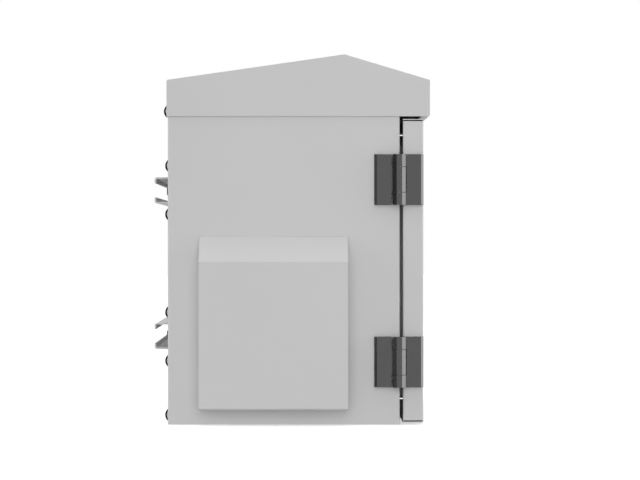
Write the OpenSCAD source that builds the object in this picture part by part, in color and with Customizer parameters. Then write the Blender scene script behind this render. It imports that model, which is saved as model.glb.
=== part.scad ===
// Outdoor rack cabinet for 19-inch equipment: a folded sheet body under a gabled rain roof,
// with vent hoods on both sides, a door on surface hinges and slotted channels across the back.
// Millimetres. The front looks along -Y, +Z is up, the origin is the middle of the underside.

/* [Body] */
// Width across the side panels
body_w = 600; // [580:1:760]
// Depth from the front rim to the outside of the rear flanges
body_d = 363; // [345:1:520]
// Height of the welded body, whose top is hidden in the roof
body_h = 505; // [460:1:800]
// Sheet thickness of body, door, roof and hoods
sheet_t = 1.5; // [1:0.1:2]
// Inside radius of the folds
fold_r = 1.5; // [0.5:0.1:2]
// Width of the front rim around the door opening
rim_w = 45; // [42:1:48]
// Height of the sealing upstand on the rim
upstand_h = 24; // [16:1:28]
// Width of the flanges that carry the rear panel on their inside
rear_flange_w = 34; // [30:1:44]
// Clearance of the rear panel's edges from the folds around it
rear_panel_clear = 1; // [0.5:0.1:2]

/* [Door] */
// Depth of the door pan
door_d = 32; // [30:1:44]
// Gap between the rim and the door
door_gap = 5; // [3:0.5:8]
// Height of the door's lower edge above the base
door_lift = 3; // [2:0.5:8]
// Open slit between neighbouring folds at the door's corners
corner_slit = 1.8; // [1.6:0.1:3]
// Width of the lips behind the door's sides
door_lip_w = 10; // [8:1:12]
// Width of the foam seal
gasket_w = 12; // [10:1:16]
// Clearance between the seal and the upstand
gasket_clear = 0.3; // [0.2:0.1:1]
// Width of the stiffener's crown
stiffener_w = 36; // [24:1:60]
// Depth of the stiffener
stiffener_d = 14; // [8:1:20]
// Width of each stiffener foot
stiffener_foot_w = 12; // [8:1:20]
// Distance from the seal to the stiffener's end
stiffener_end_gap = 14; // [6:1:40]

/* [Roof] */
// Overlap of the skirt over the body's top
roof_lap = 23; // [18:1:40]
// Gap between the door's top and the skirt's lower edge
roof_gap = 4; // [3:0.5:10]
// Height of the skirt at the eaves
skirt_h = 57; // [45:1:90]
// Rise of the ridge over the eaves
ridge_rise = 40; // [20:1:70]
// Distance of the ridge behind the roof's front
ridge_back = 133.5; // [90:0.5:200]
// Overhang of the roof in front of the door
roof_front = 10; // [4:0.5:30]
// Width of the lip folded under the front skirt
roof_lip = 14; // [8:0.5:18]
// Clearance between the skirt and the body
roof_clear = 0.5; // [0.3:0.1:2]
// Distance of each rib from the roof's sides
rib_side_gap = 120; // [80:1:180]
// Distance of each rib's end from the body's front and back
rib_inset = 30; // [20:1:50]
// Distance of the rib's screws from the body's front and back
rib_screw_inset = 60; // [50:1:90]
// Half width of the flat at each rib's top
rib_flat = 4; // [3:0.5:8]
// Width of each rib's foot
rib_foot_w = 22; // [18:1:30]
// Diameter of the lightening holes in the ribs
rib_hole_d = 24; // [16:1:30]

/* [Hinges] */
// Height of each hinge
hinge_h = 79; // [60:1:110]
// Width of each hinge from its rear edge to the door's front
hinge_w = 77; // [72:1:100]
// Distance of each hinge's middle from the door's end
hinge_inset = 95; // [70:1:130]
// Thickness of the leaves
leaf_t = 8; // [7:0.5:9]
// Thickness left at a leaf's chamfered edge
leaf_edge_t = 3; // [2:0.5:5]
// Width of a leaf's chamfer
leaf_chamfer = 4; // [2:0.5:6]
// Width of the eight-sided barrel across its flats
barrel_w = 20.4; // [18:0.2:22]
// Diameter of the hinge pin
pin_d = 8; // [6:0.5:10]
// Distance of the hinge axis behind the front rim
axis_back = 1.5; // [0:0.5:4]
// Play between turning and fixed hinge faces
hinge_play = 0.4; // [0.3:0.1:0.6]
// Radial clearance of the pin in the turning knuckles
pin_run_clear = 0.05; // [0.02:0.01:0.09]
// Radial clearance of the pin in the fixed knuckle
pin_fix_clear = 0.02; // [0.01:0.01:0.05]
// Distance of the hinge screws from the hinge's middle
hinge_screw_z = 26; // [18:1:28]
// Chamfer on the ends of each pin
pin_chamfer = 0.8; // [0.4:0.1:1.2]

/* [Vent hoods] */
// Height of each hood
hood_h = 269; // [255:1:320]
// Depth of each hood
hood_d = 40; // [30:1:60]
// Height of the hood's sloping top
hood_slope_h = 39; // [20:1:50]
// Height of the hood's lower edge above the base
hood_lift = 25; // [15:1:60]
// Distance of the hood from the cabinet's back
hood_back = 49.5; // [44:0.5:60]
// Distance of the hood behind the front rim
hood_front = 81.5; // [60:0.5:90]
// Width of the hood's flanges on the side panel
hood_flange_w = 15; // [12:1:16]
// Width of the drain slots in the hood's underside
drain_slot_w = 6; // [4:0.5:8]
// Distance between the drain slots
drain_pitch = 14; // [10:1:20]
// Distance of the drain slots from the edges of the underside
drain_edge = 7; // [4:1:10]
// Distance of the hood studs above and below the vent's middle
hood_stud_z = 80; // [60:1:84]
// Length of the hood studs past the side panel's inside
hood_stud_l = 9; // [7:1:14]
// Height of the vent's middle above the hood's lower edge
vent_rise = 135; // [130:1:140]

/* [Air inlet] */
// Height of the air inlet in the left panel
inlet_h = 150; // [120:1:160]
// Distance of the air inlet from the hood's sides
inlet_margin = 41; // [38:1:50]
// Width of the filter frame around the inlet
filter_frame_rim = 14; // [12:1:15]
// Depth of the filter frame
filter_frame_d = 20; // [18:1:24]
// Wall thickness of the filter frame
filter_wall = 2.5; // [2:0.5:3]
// Thickness of the filter mat
filter_mat_t = 12; // [8:1:13]
// Thickness of the cover's slats and rim
filter_cover_t = 3; // [2:0.5:4]
// Distance between the bars of frame and cover
filter_bar_pitch = 15; // [12:1:20]
// Width of the bars of frame and cover
filter_bar_w = 3; // [2:0.5:4]

/* [Fan] */
// Width of the square fan housing
fan_w = 120; // [119:0.5:120]
// Depth of the fan housing
fan_d = 38; // [36:1:39]
// Diameter of the fan's bore
fan_bore_d = 116; // [112:1:116]
// Distance between the fan's screws
fan_pitch = 104.8; // [104.5:0.1:105]
// Thickness of the fan's mounting flanges
fan_flange_t = 4.5; // [3:0.5:6]
// Wall thickness of the fan's tube
fan_wall = 2; // [1.5:0.1:2.4]
// Corner radius of the fan's flanges
fan_corner_r = 6; // [4:0.5:8]
// Diameter of the fan's hub
fan_hub_d = 46; // [40:1:56]
// Clearance of the blade tips in the bore
fan_tip_clear = 1.5; // [1:0.1:3]
// Clearance of the rotor in front of and behind its hub
fan_end_clear = 3; // [2:0.5:4]
// Thickness of the motor plate behind the rotor
fan_plate_t = 4; // [3:0.5:5]
// Width of the struts that hold the motor plate
fan_strut_w = 6; // [4:0.5:8]
// Diameter of the rotor's shaft
fan_shaft_d = 4; // [3:0.5:6]
// Radial clearance of the shaft in its bearing
fan_shaft_clear = 0.05; // [0.02:0.01:0.09]
// Thickness of the blades
blade_t = 1.8; // [1.2:0.1:2.5]
// Radius of the blades' curve
blade_curve_r = 34; // [30:1:45]
// Wire thickness of the finger guards
guard_wire_d = 2.4; // [1.8:0.1:3]
// Distance between the rings of the finger guards
guard_pitch = 11; // [9:0.5:14]

/* [Rack] */
// Height of one rack unit
unit_h = 44.45;
// Distance of the outer mounting holes from the middle one in a rack unit
unit_hole_step = 15.875;
// Distance of the rails' clear width from the cabinet's sides
rack_room = 75; // [60:1:90]
// Distance of the square holes' middle from the rails' inner edge
square_inset = 7.55;
// Width of the square holes
square_hole = 9.5;
// Width of the rails' front face
rack_face_w = 25; // [24:0.5:26]
// Depth of the rails' side
rack_side_w = 32; // [26:1:40]
// Sheet thickness of the rails
rack_t = 2; // [1.5:0.1:2.5]
// Length of the rails past the last rack unit
rack_end = 27; // [25:0.5:29]
// Distance of the front rails behind the front rim
rack_front_gap = 44; // [36:1:80]
// Distance of the rear rails in front of the rear panel
rack_rear_gap = 44; // [40:1:80]
// Height of the rail supports' flanges
support_h = 24; // [20:1:26]
// Distance of the supports from the rail's ends
support_inset = 4; // [2:1:6]
// Distance of the supports' ends from the body's front and back
support_end_gap = 20; // [16:1:34]
// Length of the adjusting slots
support_slot_l = 34; // [24:1:44]
// Distance between the ends of neighbouring slots
support_slot_gap = 12; // [10:1:20]

/* [Rear channels] */
// Height of the channel
channel_h = 41.3;
// Depth of the channel
channel_d = 24;
// Sheet thickness of the channel
channel_t = 2.5;
// Width of the channel's lips
channel_lip = 9.5;
// Distance of the channel's ends from the rear flanges
channel_end_gap = 2; // [1:0.5:20]
// Height of the lower channel's middle above the base
channel_z = 137; // [110:1:180]
// Distance between the two channels
channel_pitch = 230; // [160:1:240]
// Distance of the channel's bolts from the cabinet's middle
channel_bolt_x = 200; // [120:1:240]

/* [Cup-head bolts] */
// Thread diameter of the bolts through the rear panel
cup_bolt_d = 8; // [6:1:8]
// Diameter of the cup head
cup_head_d = 20; // [15:0.5:22]
// Height of the cup head
cup_head_h = 5; // [4:0.1:6]
// Length of the bolts
cup_bolt_l = 16; // [14:1:22]
// Distance of the bolts from the cabinet's sides
cup_bolt_edge = 18; // [16:0.5:20]
// Distance of the bolts above and below each channel's middle
cup_bolt_step = 38; // [34:1:48]
// Height of the lowest bolts above the base
cup_bolt_low = 14; // [12:1:20]
// Height of the roof bolts above the skirt's lower edge
roof_bolt_rise = 8.5; // [6:0.5:11]
// Width of the flange nuts across their flats
nut_w = 13; // [11:0.5:14]
// Height of the flange nuts
nut_h = 8; // [6:0.5:9]
// Diameter of the nut's flange
nut_flange_d = 17; // [15:0.5:18]
// Thickness of the nut's flange
nut_flange_t = 1.6; // [1:0.1:2]

/* [Small fasteners] */
// Thread diameter of hinge, rail and roof rib screws
screw_d = 6; // [5:0.5:6]
// Diameter of their heads
screw_head_d = 12; // [10:0.5:13]
// Height of their heads
screw_head_h = 4; // [3:0.5:5]
// Thread diameter of the studs and screws at the vents and the gland plate
small_screw_d = 4; // [3:0.5:4]
// Diameter of their heads
small_head_d = 8; // [7:0.5:8.5]
// Height of their heads
small_head_h = 2.6; // [2:0.1:3]
// Radial clearance of screws in their holes
screw_clear = 0.3; // [0.2:0.05:0.4]
// Radial clearance of screws in threaded holes
thread_clear = 0.05; // [0.02:0.01:0.1]
// Depth of key recesses in the heads
key_depth = 2; // [1:0.1:2.4]

/* [Cable entry] */
// Length of the floor's cable opening
entry_l = 300; // [240:1:340]
// Width of the floor's cable opening
entry_w = 90; // [80:1:110]
// Distance of the entry's middle behind the cabinet's middle
entry_back = 60; // [40:1:70]
// Overlap of the gland plate around the opening
entry_lap = 16; // [14:1:20]
// Thickness of the gland plate
gland_plate_t = 2; // [1.5:0.1:3]
// Thickness of its seal
gland_seal_t = 2; // [1.5:0.1:3]
// Diameter of the grommets' holes
grommet_d = 40; // [24:1:44]
// Distance between the grommets
grommet_pitch = 68; // [60:1:72]
// Width of the grommets' collars
grommet_collar = 5; // [3:0.5:6]
// Thickness of the grommets' collars
grommet_collar_t = 1.8; // [1.2:0.1:2.5]
// Height of the grommets' closed cones
grommet_cone_h = 10; // [6:0.5:14]
// Wall thickness of the grommets' cones
grommet_wall = 1.2; // [1:0.1:1.6]
// Diameter of the grommets' closed tips
grommet_tip_d = 12; // [8:0.5:16]

/* [Earth stud] */
// Distance of the earth stud in front of the cabinet's middle
earth_front = 120; // [90:1:130]
// Distance of the earth stud from the cabinet's middle
earth_x = 180; // [100:1:200]
// Height of the earth stud
earth_h = 26; // [22:1:30]
// Thickness of the earth stud's washers
earth_washer_t = 1.6; // [1:0.1:2]

/* [Locks] */
// Distance of the locks from the door's free side
lock_inset = 74; // [69:1:77]
// Diameter of the lock's outer flange
lock_flange_d = 32; // [28:0.5:36]
// Thickness of the lock's outer flange
lock_flange_t = 3; // [2:0.5:5]
// Diameter of the lock's barrel
lock_barrel_d = 22; // [20:0.5:24]
// Length of the lock's barrel behind the door's sheet
lock_barrel_l = 26; // [20:1:28]
// Diameter of the turning insert
lock_rotor_d = 13; // [12:0.5:14]
// Radial clearance of the turning insert
lock_run_clear = 0.06; // [0.03:0.01:0.09]
// Diameter of the key recess
lock_key_d = 9; // [7:0.5:10]
// Depth of the key recess
lock_key_depth = 6; // [4:0.5:9]
// Diameter of the key post
lock_post_d = 3.5; // [2.5:0.5:4]
// Thickness of the key post's two wings
lock_wing_t = 1.6; // [1:0.1:2]
// Width of the square that carries the cam
lock_square = 8; // [7:0.5:8.5]
// Thickness of the cam
cam_t = 4; // [3:0.5:5]
// Width of the cam
cam_w = 19; // [16:0.5:20]
// Reach of the cam from the lock's axis
cam_reach = 42; // [38:1:48]
// Play between the cam and the inside of the rim
cam_play = 2; // [1:0.5:4]
// Diameter of the lock nut across its flats
lock_nut_w = 28; // [26:0.5:30]
// Thickness of the lock nut
lock_nut_t = 5; // [4:0.5:7]

/* [Hidden] */
$fn = 64;
// Overrun of every cut past the faces it opens
over = sheet_t;
octagon = 8;
hexagon = 6;
// Height of a welded wire over the wire under it, as a share of the wire's thickness
weld_share = 0.8;

front_y = -body_d / 2;
back_y = body_d / 2;
rear_y = back_y - sheet_t;
side_x = body_w / 2;
inner_x = side_x - sheet_t;

door_rear_y = front_y - door_gap;
door_y = door_rear_y - door_d;
door_in_y = door_y + sheet_t;
skirt_z = body_h - roof_lap;
door_top = skirt_z - roof_gap;
door_lap = rim_w - door_lift;
open_low = rim_w;
open_high = door_top - door_lap;
open_x = side_x - rim_w;
upstand_y = front_y - upstand_h;

roof_front_y = door_y - roof_front;
roof_back_y = back_y + roof_clear + sheet_t;
roof_x = side_x + roof_clear + sheet_t;
eave_z = skirt_z + skirt_h;
ridge_y = roof_front_y + ridge_back;
ridge_z = eave_z + ridge_rise;
back_slope = ridge_rise / (roof_back_y - ridge_y);
front_slope = ridge_rise / ridge_back;
back_drop = sheet_t * sqrt(1 + back_slope * back_slope);
front_drop = sheet_t * sqrt(1 + front_slope * front_slope);
mid_ridge_y = (back_slope * roof_back_y + front_slope * roof_front_y - (back_drop - front_drop) / 2)
    / (back_slope + front_slope);
under_ridge_y = (back_slope * roof_back_y + front_slope * roof_front_y - back_drop + front_drop)
    / (back_slope + front_slope);

rib_x = side_x - rib_side_gap;
rib_screw_x = rib_x + rib_foot_w / 2;
rib_screw_y = back_y - rib_screw_inset;

hinge_zs = [door_lift + hinge_inset, door_top - hinge_inset];
axis_y = front_y + axis_back;
barrel_r = barrel_w / 2 / cos(180 / octagon);
axis_x = -side_x - barrel_r - hinge_play;
leaf_x = -side_x - leaf_t;
leaf_gap = barrel_r + hinge_play;
knuckle_h = hinge_h / 4;
pin_r = pin_d / 2;
body_screw_y = (door_y + hinge_w + axis_y + leaf_gap) / 2;
door_screw_y = (door_y + axis_y - leaf_gap) / 2;

hood_w = body_d - hood_back - hood_front;
hood_y = back_y - hood_back - hood_w / 2;
hood_z = hood_lift;
hood_top = hood_z + hood_h;
hood_fold = hood_top - hood_slope_h;
hood_slope = hood_slope_h / hood_d;
hood_slope_drop = sheet_t / 2 * sqrt(1 + hood_slope * hood_slope);
vent_z = hood_z + vent_rise;
hood_stud_y = hood_w / 2 - sheet_t - hood_flange_w / 2;

inlet_l = hood_w - 2 * inlet_margin;
inlet = [inlet_l, inlet_h];
filter_hold = [inlet_l - 2 * filter_wall, inlet_h - 2 * filter_wall];
filter_screw_y = inlet_l / 2 + filter_frame_rim / 2;
filter_screw_z = inlet_h / 2 + filter_frame_rim / 2;

unit_count = floor((open_high - open_low) / unit_h);
rack_h = unit_count * unit_h + 2 * rack_end;
rack_z = (open_low + open_high - rack_h) / 2;
rack_x = side_x - rack_room;
rack_out_x = rack_x + rack_face_w;
rack_front_y = front_y + rack_front_gap;
rack_rear_y = rear_y - rack_rear_gap;
support_y = front_y + support_end_gap;
support_l = body_d - 2 * support_end_gap;
support_zs = [rack_z + support_inset, rack_z + rack_h - support_inset - support_h];
rack_bolt_ys = [rack_front_y + rack_side_w / 2, rack_rear_y - rack_side_w / 2];
support_slot_step = support_slot_l + support_slot_gap;

channel_zs = [channel_z, channel_z + channel_pitch];
channel_l = body_w - 2 * rear_flange_w - 2 * channel_end_gap;
cup_bolt_x = side_x - cup_bolt_edge;
cup_bolt_zs = [
    cup_bolt_low,
    channel_zs[0] - cup_bolt_step,
    channel_zs[0] + cup_bolt_step,
    channel_zs[1] - cup_bolt_step,
    channel_zs[1] + cup_bolt_step,
];
roof_bolt_z = skirt_z + roof_bolt_rise;
roof_bolt_xs = [-cup_bolt_x, 0, cup_bolt_x];
cup_hole_r = cup_bolt_d / 2 + screw_clear;
screw_hole_r = screw_d / 2 + screw_clear;
small_hole_r = small_screw_d / 2 + screw_clear;

entry_y = entry_back;
gland_top = sheet_t + gland_seal_t + gland_plate_t;
gland_screw_x = entry_l / 2 + entry_lap / 2;
gland_screw_y = entry_w / 2 + entry_lap / 2;
gland_screws = [
    [-gland_screw_x, -gland_screw_y], [0, -gland_screw_y], [gland_screw_x, -gland_screw_y],
    [-gland_screw_x, gland_screw_y], [0, gland_screw_y], [gland_screw_x, gland_screw_y],
];
grommet_count = floor((entry_l - grommet_d - 2 * grommet_collar) / grommet_pitch) + 1;

lock_x = side_x - lock_inset;
cam_y = front_y + sheet_t + cam_play;
lock_barrel_end = door_in_y + lock_barrel_l;

paint = "#c1c1c1";
zinc = "#c9ccd0";
dark = "#595959";
black = "#222222";

// Folded sheet: straight runs and true round folds along the middle of its section, raised by l
function run(a, b) = (b - a) / norm(b - a);
function across(d) = [-d[1], d[0]];
function before(path, i) = run(path[i - 1], path[i]);
function after(path, i) = run(path[i], path[i + 1]);
function setback(path, i, mid_r) = mid_r * tan(acos(before(path, i) * after(path, i)) / 2);

// Outline of a plate that closes a folded sheet's end, inside its thickness at every fold
function end_outline(path, mid_r) = [
    path[0],
    for (i = [1 : len(path) - 2], side = [-1, 1])
        path[i] + (side < 0 ? -before(path, i) : after(path, i)) * setback(path, i, mid_r),
    path[len(path) - 1],
];

module fold_run(path, i, t, r) {
    last = len(path) - 2;
    d = after(path, i);
    n = across(d) * t / 2;
    a = i == 0 ? path[i] : path[i] + d * setback(path, i, r + t / 2);
    b = i == last ? path[i + 1] : path[i + 1] - d * setback(path, i + 1, r + t / 2);
    polygon([a + n, b + n, b - n, a - n]);
}

module fold_turn(path, i, t, r) {
    mid_r = r + t / 2;
    d = before(path, i);
    e = after(path, i);
    a = path[i] - d * setback(path, i, mid_r);
    b = path[i] + e * setback(path, i, mid_r);
    c = a + across(d) * mid_r * sign(cross(d, e));
    intersection() {
        translate(c)
            difference() {
                circle(r = r + t);
                circle(r = r);
            }
        polygon([c, 2 * a - c, 2 * path[i] - c, 2 * b - c]);
    }
}

module fold_sheet(path, l, t = sheet_t, r = fold_r) {
    union() {
        for (i = [0 : len(path) - 2])
            linear_extrude(height = l)
                fold_run(path, i, t, r);
        for (i = [1 : len(path) - 2])
            linear_extrude(height = l)
                fold_turn(path, i, t, r);
    }
}

// Shapes drawn flat and raised, then laid along X about the middle or along Y from a start
module lay_x(l) {
    translate([-l / 2, 0, 0])
        rotate([90, 0, 90])
            children();
}

module lay_y(y, l) {
    translate([0, y + l, 0])
        rotate([90, 0, 0])
            children();
}

module mirror_x() {
    mirror([1, 0, 0])
        children();
}

// Round bar or hole along each axis, from a start point
module bar_x(p, r, l, n = $fn) {
    translate(p)
        rotate([0, 90, 0])
            cylinder(r = r, h = l, $fn = n);
}

module bar_y(p, r, l, n = $fn) {
    translate(p)
        rotate([-90, 0, 0])
            cylinder(r = r, h = l, $fn = n);
}

module slot_shape(l, w) {
    square([l - w, w], center = true);
    for (s = [-1, 1])
        translate([s * (l - w) / 2, 0])
            circle(d = w);
}

// Body panels
module side_sheet() {
    path = [
        [-side_x + rear_flange_w, back_y - sheet_t / 2],
        [-side_x + sheet_t / 2, back_y - sheet_t / 2],
        [-side_x + sheet_t / 2, front_y + sheet_t / 2],
        [-open_x - sheet_t / 2, front_y + sheet_t / 2],
        [-open_x - sheet_t / 2, upstand_y],
    ];
    difference() {
        fold_sheet(path, body_h);
        translate([-side_x, upstand_y - over, -over])
            cube([rim_w + over, upstand_h + over, open_low - sheet_t + over]);
        translate([-side_x, upstand_y - over, open_high + sheet_t])
            cube([rim_w + over, upstand_h + over, body_h - open_high]);
        for (z = cup_bolt_zs)
            bar_y([-cup_bolt_x, rear_y - over, z], cup_hole_r, sheet_t + 2 * over);
        bar_y([-cup_bolt_x, rear_y - over, roof_bolt_z], cup_hole_r, sheet_t + 2 * over);
        for (s = [-1, 1], u = [-1, 1])
            bar_x([-side_x - over, hood_y + s * hood_stud_y, vent_z + u * hood_stud_z],
                small_hole_r, sheet_t + 2 * over);
    }
}

module side_panel_left() {
    color(paint)
        difference() {
            side_sheet();
            translate([-side_x - over, hood_y - inlet_l / 2, vent_z - inlet_h / 2])
                cube([sheet_t + 2 * over, inlet_l, inlet_h]);
            for (s = [-1, 1], u = [-1, 1])
                bar_x([-side_x - over, hood_y + s * filter_screw_y, vent_z + u * filter_screw_z],
                    small_hole_r, sheet_t + 2 * over);
            for (z = hinge_zs, u = [-1, 1])
                bar_x([-side_x - over, body_screw_y, z + u * hinge_screw_z],
                    screw_hole_r, sheet_t + 2 * over);
        }
}

module side_panel_right() {
    color(paint)
        difference() {
            mirror_x()
                side_sheet();
            bar_x([inner_x - over, hood_y, vent_z], fan_bore_d / 2, sheet_t + 2 * over);
            for (s = [-1, 1], u = [-1, 1])
                bar_x([inner_x - over, hood_y + s * fan_pitch / 2, vent_z + u * fan_pitch / 2],
                    small_hole_r, sheet_t + 2 * over);
        }
}

module rear_panel() {
    edge = sheet_t + fold_r + rear_panel_clear;
    inside_y = rear_y - sheet_t;
    color(paint)
        difference() {
            translate([-side_x + edge, inside_y, edge])
                cube([body_w - 2 * edge, sheet_t, body_h - 2 * edge]);
            for (s = [-1, 1], z = cup_bolt_zs)
                bar_y([s * cup_bolt_x, inside_y - over, z], cup_hole_r, sheet_t + 2 * over);
            for (x = roof_bolt_xs)
                bar_y([x, inside_y - over, roof_bolt_z], cup_hole_r, sheet_t + 2 * over);
            for (s = [-1, 1], z = channel_zs)
                bar_y([s * channel_bolt_x, inside_y - over, z], cup_hole_r, sheet_t + 2 * over);
        }
}

// Floor or top between the side panels, relieved where their rims and flanges stand
module end_panel(sheet_z, rim_z, flange_z) {
    corner = sheet_t + fold_r;
    path = [
        [back_y - sheet_t / 2, flange_z],
        [back_y - sheet_t / 2, sheet_z],
        [front_y + sheet_t / 2, sheet_z],
        [front_y + sheet_t / 2, rim_z],
        [upstand_y, rim_z],
    ];
    difference() {
        lay_x(2 * inner_x)
            fold_sheet(path, 2 * inner_x);
        for (s = [0, 1])
            mirror([s, 0, 0]) {
                translate([open_x, upstand_y - over, -over])
                    cube([rim_w, upstand_h + over + corner, body_h + 2 * over]);
                translate([side_x - rear_flange_w, back_y - corner, -over])
                    cube([rear_flange_w, corner + over, body_h + 2 * over]);
            }
    }
}

module top_panel() {
    color(paint)
        difference() {
            end_panel(body_h - sheet_t / 2, open_high + sheet_t / 2, body_h - rear_flange_w);
            bar_y([0, rear_y - over, roof_bolt_z], cup_hole_r, sheet_t + 2 * over);
            roof_rib_holes(body_h - sheet_t - over, sheet_t + 2 * over, screw_hole_r);
        }
}

module floor_panel() {
    color(paint)
        difference() {
            end_panel(sheet_t / 2, open_low - sheet_t / 2, rear_flange_w);
            translate([-entry_l / 2, entry_y - entry_w / 2, -over])
                cube([entry_l, entry_w, sheet_t + 2 * over]);
            for (p = gland_screws)
                translate([p[0], entry_y + p[1], -over])
                    cylinder(r = small_screw_d / 2 + thread_clear, h = sheet_t + 2 * over);
            translate([-earth_x, -earth_front, -over])
                cylinder(r = cup_bolt_d / 2 + thread_clear, h = sheet_t + 2 * over);
        }
}

// Roof: one folded sheet with a lip under its front skirt, closed by a gable plate at each end
function under_back(y) = eave_z + back_slope * (roof_back_y - y) - back_drop;
function under_front(y) = eave_z + front_slope * (y - roof_front_y) - front_drop;

module roof() {
    back = roof_back_y - sheet_t / 2;
    front = roof_front_y + sheet_t / 2;
    path = [
        [back, skirt_z],
        [back, under_back(back) + back_drop / 2],
        [mid_ridge_y, under_back(mid_ridge_y) + back_drop / 2],
        [front, under_front(front) + front_drop / 2],
        [front, skirt_z + sheet_t / 2],
        [roof_front_y + roof_lip, skirt_z + sheet_t / 2],
    ];
    shell = end_outline(path, fold_r + sheet_t / 2);
    last = len(shell) - 2;
    color(paint)
        difference() {
            lay_x(2 * roof_x) {
                fold_sheet(path, 2 * roof_x);
                for (x = [0, 2 * roof_x - sheet_t])
                    translate([0, 0, x])
                        linear_extrude(height = sheet_t)
                            polygon([
                                for (i = [0 : last])
                                    shell[i],
                                [shell[last][0], skirt_z],
                            ]);
            }
            for (x = roof_bolt_xs)
                bar_y([x, roof_back_y - sheet_t - over, roof_bolt_z], cup_hole_r, sheet_t + 2 * over);
        }
}

module roof_rib_holes(z, h, r) {
    for (s = [-1, 1], u = [-1, 1])
        translate([s * rib_screw_x, u * rib_screw_y, z])
            cylinder(r = r, h = h);
}

module roof_rib() {
    rear = back_y - rib_inset;
    front = front_y + rib_inset;
    hole_z = body_h + rib_hole_d;
    difference() {
        union() {
            translate([rib_x, 0, 0])
                rotate([90, 0, 90])
                    linear_extrude(height = sheet_t)
                        difference() {
                            polygon([
                                [rear, body_h], [rear, under_back(rear)],
                                [under_ridge_y + rib_flat, under_back(under_ridge_y + rib_flat)],
                                [under_ridge_y - rib_flat, under_front(under_ridge_y - rib_flat)],
                                [front, under_front(front)], [front, body_h],
                            ]);
                            for (i = [-1 : 1])
                                translate([i * rib_screw_y / 2, hole_z])
                                    circle(d = rib_hole_d);
                        }
            translate([rib_x, front, body_h])
                cube([rib_foot_w, rear - front, sheet_t]);
        }
        roof_rib_holes(body_h - over, sheet_t + 2 * over, screw_d / 2 + thread_clear);
    }
}

module roof_rib_left() {
    color(paint)
        mirror_x()
            roof_rib();
}

module roof_rib_right() {
    color(paint)
        roof_rib();
}

module hex_screw(l, d, head_d, head_h) {
    cylinder(d = d, h = l);
    translate([0, 0, -head_h])
        difference() {
            cylinder(d = head_d, h = head_h);
            translate([0, 0, -over])
                cylinder(d = d, h = key_depth + over, $fn = hexagon);
        }
}

module roof_rib_bolts() {
    color(zinc)
        for (s = [-1, 1], u = [-1, 1])
            translate([s * rib_screw_x, u * rib_screw_y, body_h - sheet_t])
                hex_screw(2 * sheet_t + screw_head_h, screw_d, screw_head_d, screw_head_h);
}

// Bolts of the rear panel and of the roof's rear skirt
cup_ball_r = (cup_head_d * cup_head_d / 4 + cup_head_h * cup_head_h) / (2 * cup_head_h);

module cup_bolt() {
    intersection() {
        translate([0, 0, cup_head_h - cup_ball_r])
            sphere(r = cup_ball_r);
        cylinder(d = cup_head_d, h = cup_head_h);
    }
    translate([0, 0, -cup_bolt_l])
        cylinder(d = cup_bolt_d, h = cup_bolt_l);
}

module flange_nut() {
    difference() {
        union() {
            cylinder(d = nut_flange_d, h = nut_flange_t);
            cylinder(d = nut_w / cos(180 / hexagon), h = nut_h, $fn = hexagon);
        }
        translate([0, 0, -over])
            cylinder(d = cup_bolt_d + 2 * thread_clear, h = nut_h + 2 * over);
    }
}

module cup_head_bolts() {
    color(zinc) {
        for (s = [-1, 1], z = cup_bolt_zs)
            translate([s * cup_bolt_x, back_y, z])
                rotate([-90, 0, 0])
                    cup_bolt();
        for (x = roof_bolt_xs)
            translate([x, roof_back_y, roof_bolt_z])
                rotate([-90, 0, 0])
                    cup_bolt();
    }
}

module flange_nuts() {
    color(zinc) {
        for (s = [-1, 1], z = cup_bolt_zs)
            translate([s * cup_bolt_x, rear_y - sheet_t, z])
                rotate([90, 0, 0])
                    flange_nut();
        for (x = roof_bolt_xs)
            translate([x, rear_y - sheet_t, roof_bolt_z])
                rotate([90, 0, 0])
                    flange_nut();
        for (s = [-1, 1], z = channel_zs)
            translate([s * channel_bolt_x, rear_y - sheet_t, z])
                rotate([90, 0, 0])
                    flange_nut();
    }
}

// Slotted channels on the back
module pole_rail(z) {
    half = channel_h / 2 - channel_t / 2;
    web = rear_y + channel_t / 2;
    face = rear_y + channel_d - channel_t / 2;
    tip = channel_h / 2 - channel_lip;
    path = [[face, tip], [face, half], [web, half], [web, -half], [face, -half], [face, -tip]];
    color(paint)
        translate([0, 0, z])
            difference() {
                lay_x(channel_l)
                    fold_sheet(path, channel_l, channel_t, fold_r);
                for (s = [-1, 1])
                    bar_y([s * channel_bolt_x, rear_y - over, 0], cup_hole_r, channel_t + 2 * over);
            }
}

module upper_pole_rail() {
    pole_rail(channel_zs[1]);
}

module lower_pole_rail() {
    pole_rail(channel_zs[0]);
}

module pole_rail_bolts() {
    color(zinc)
        for (s = [-1, 1], z = channel_zs)
            translate([s * channel_bolt_x, rear_y + channel_t, z])
                rotate([90, 0, 0]) {
                    cylinder(d = cup_bolt_d, h = cup_bolt_l);
                    translate([0, 0, -cup_head_h])
                        cylinder(d = nut_w / cos(180 / hexagon), h = cup_head_h, $fn = hexagon);
                }
}

// Vent hood: one folded sheet with a plate at each side, flanges and studs on the panel
function hood_mid(x) = hood_top - hood_slope * (x - side_x) - hood_slope_drop;

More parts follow.
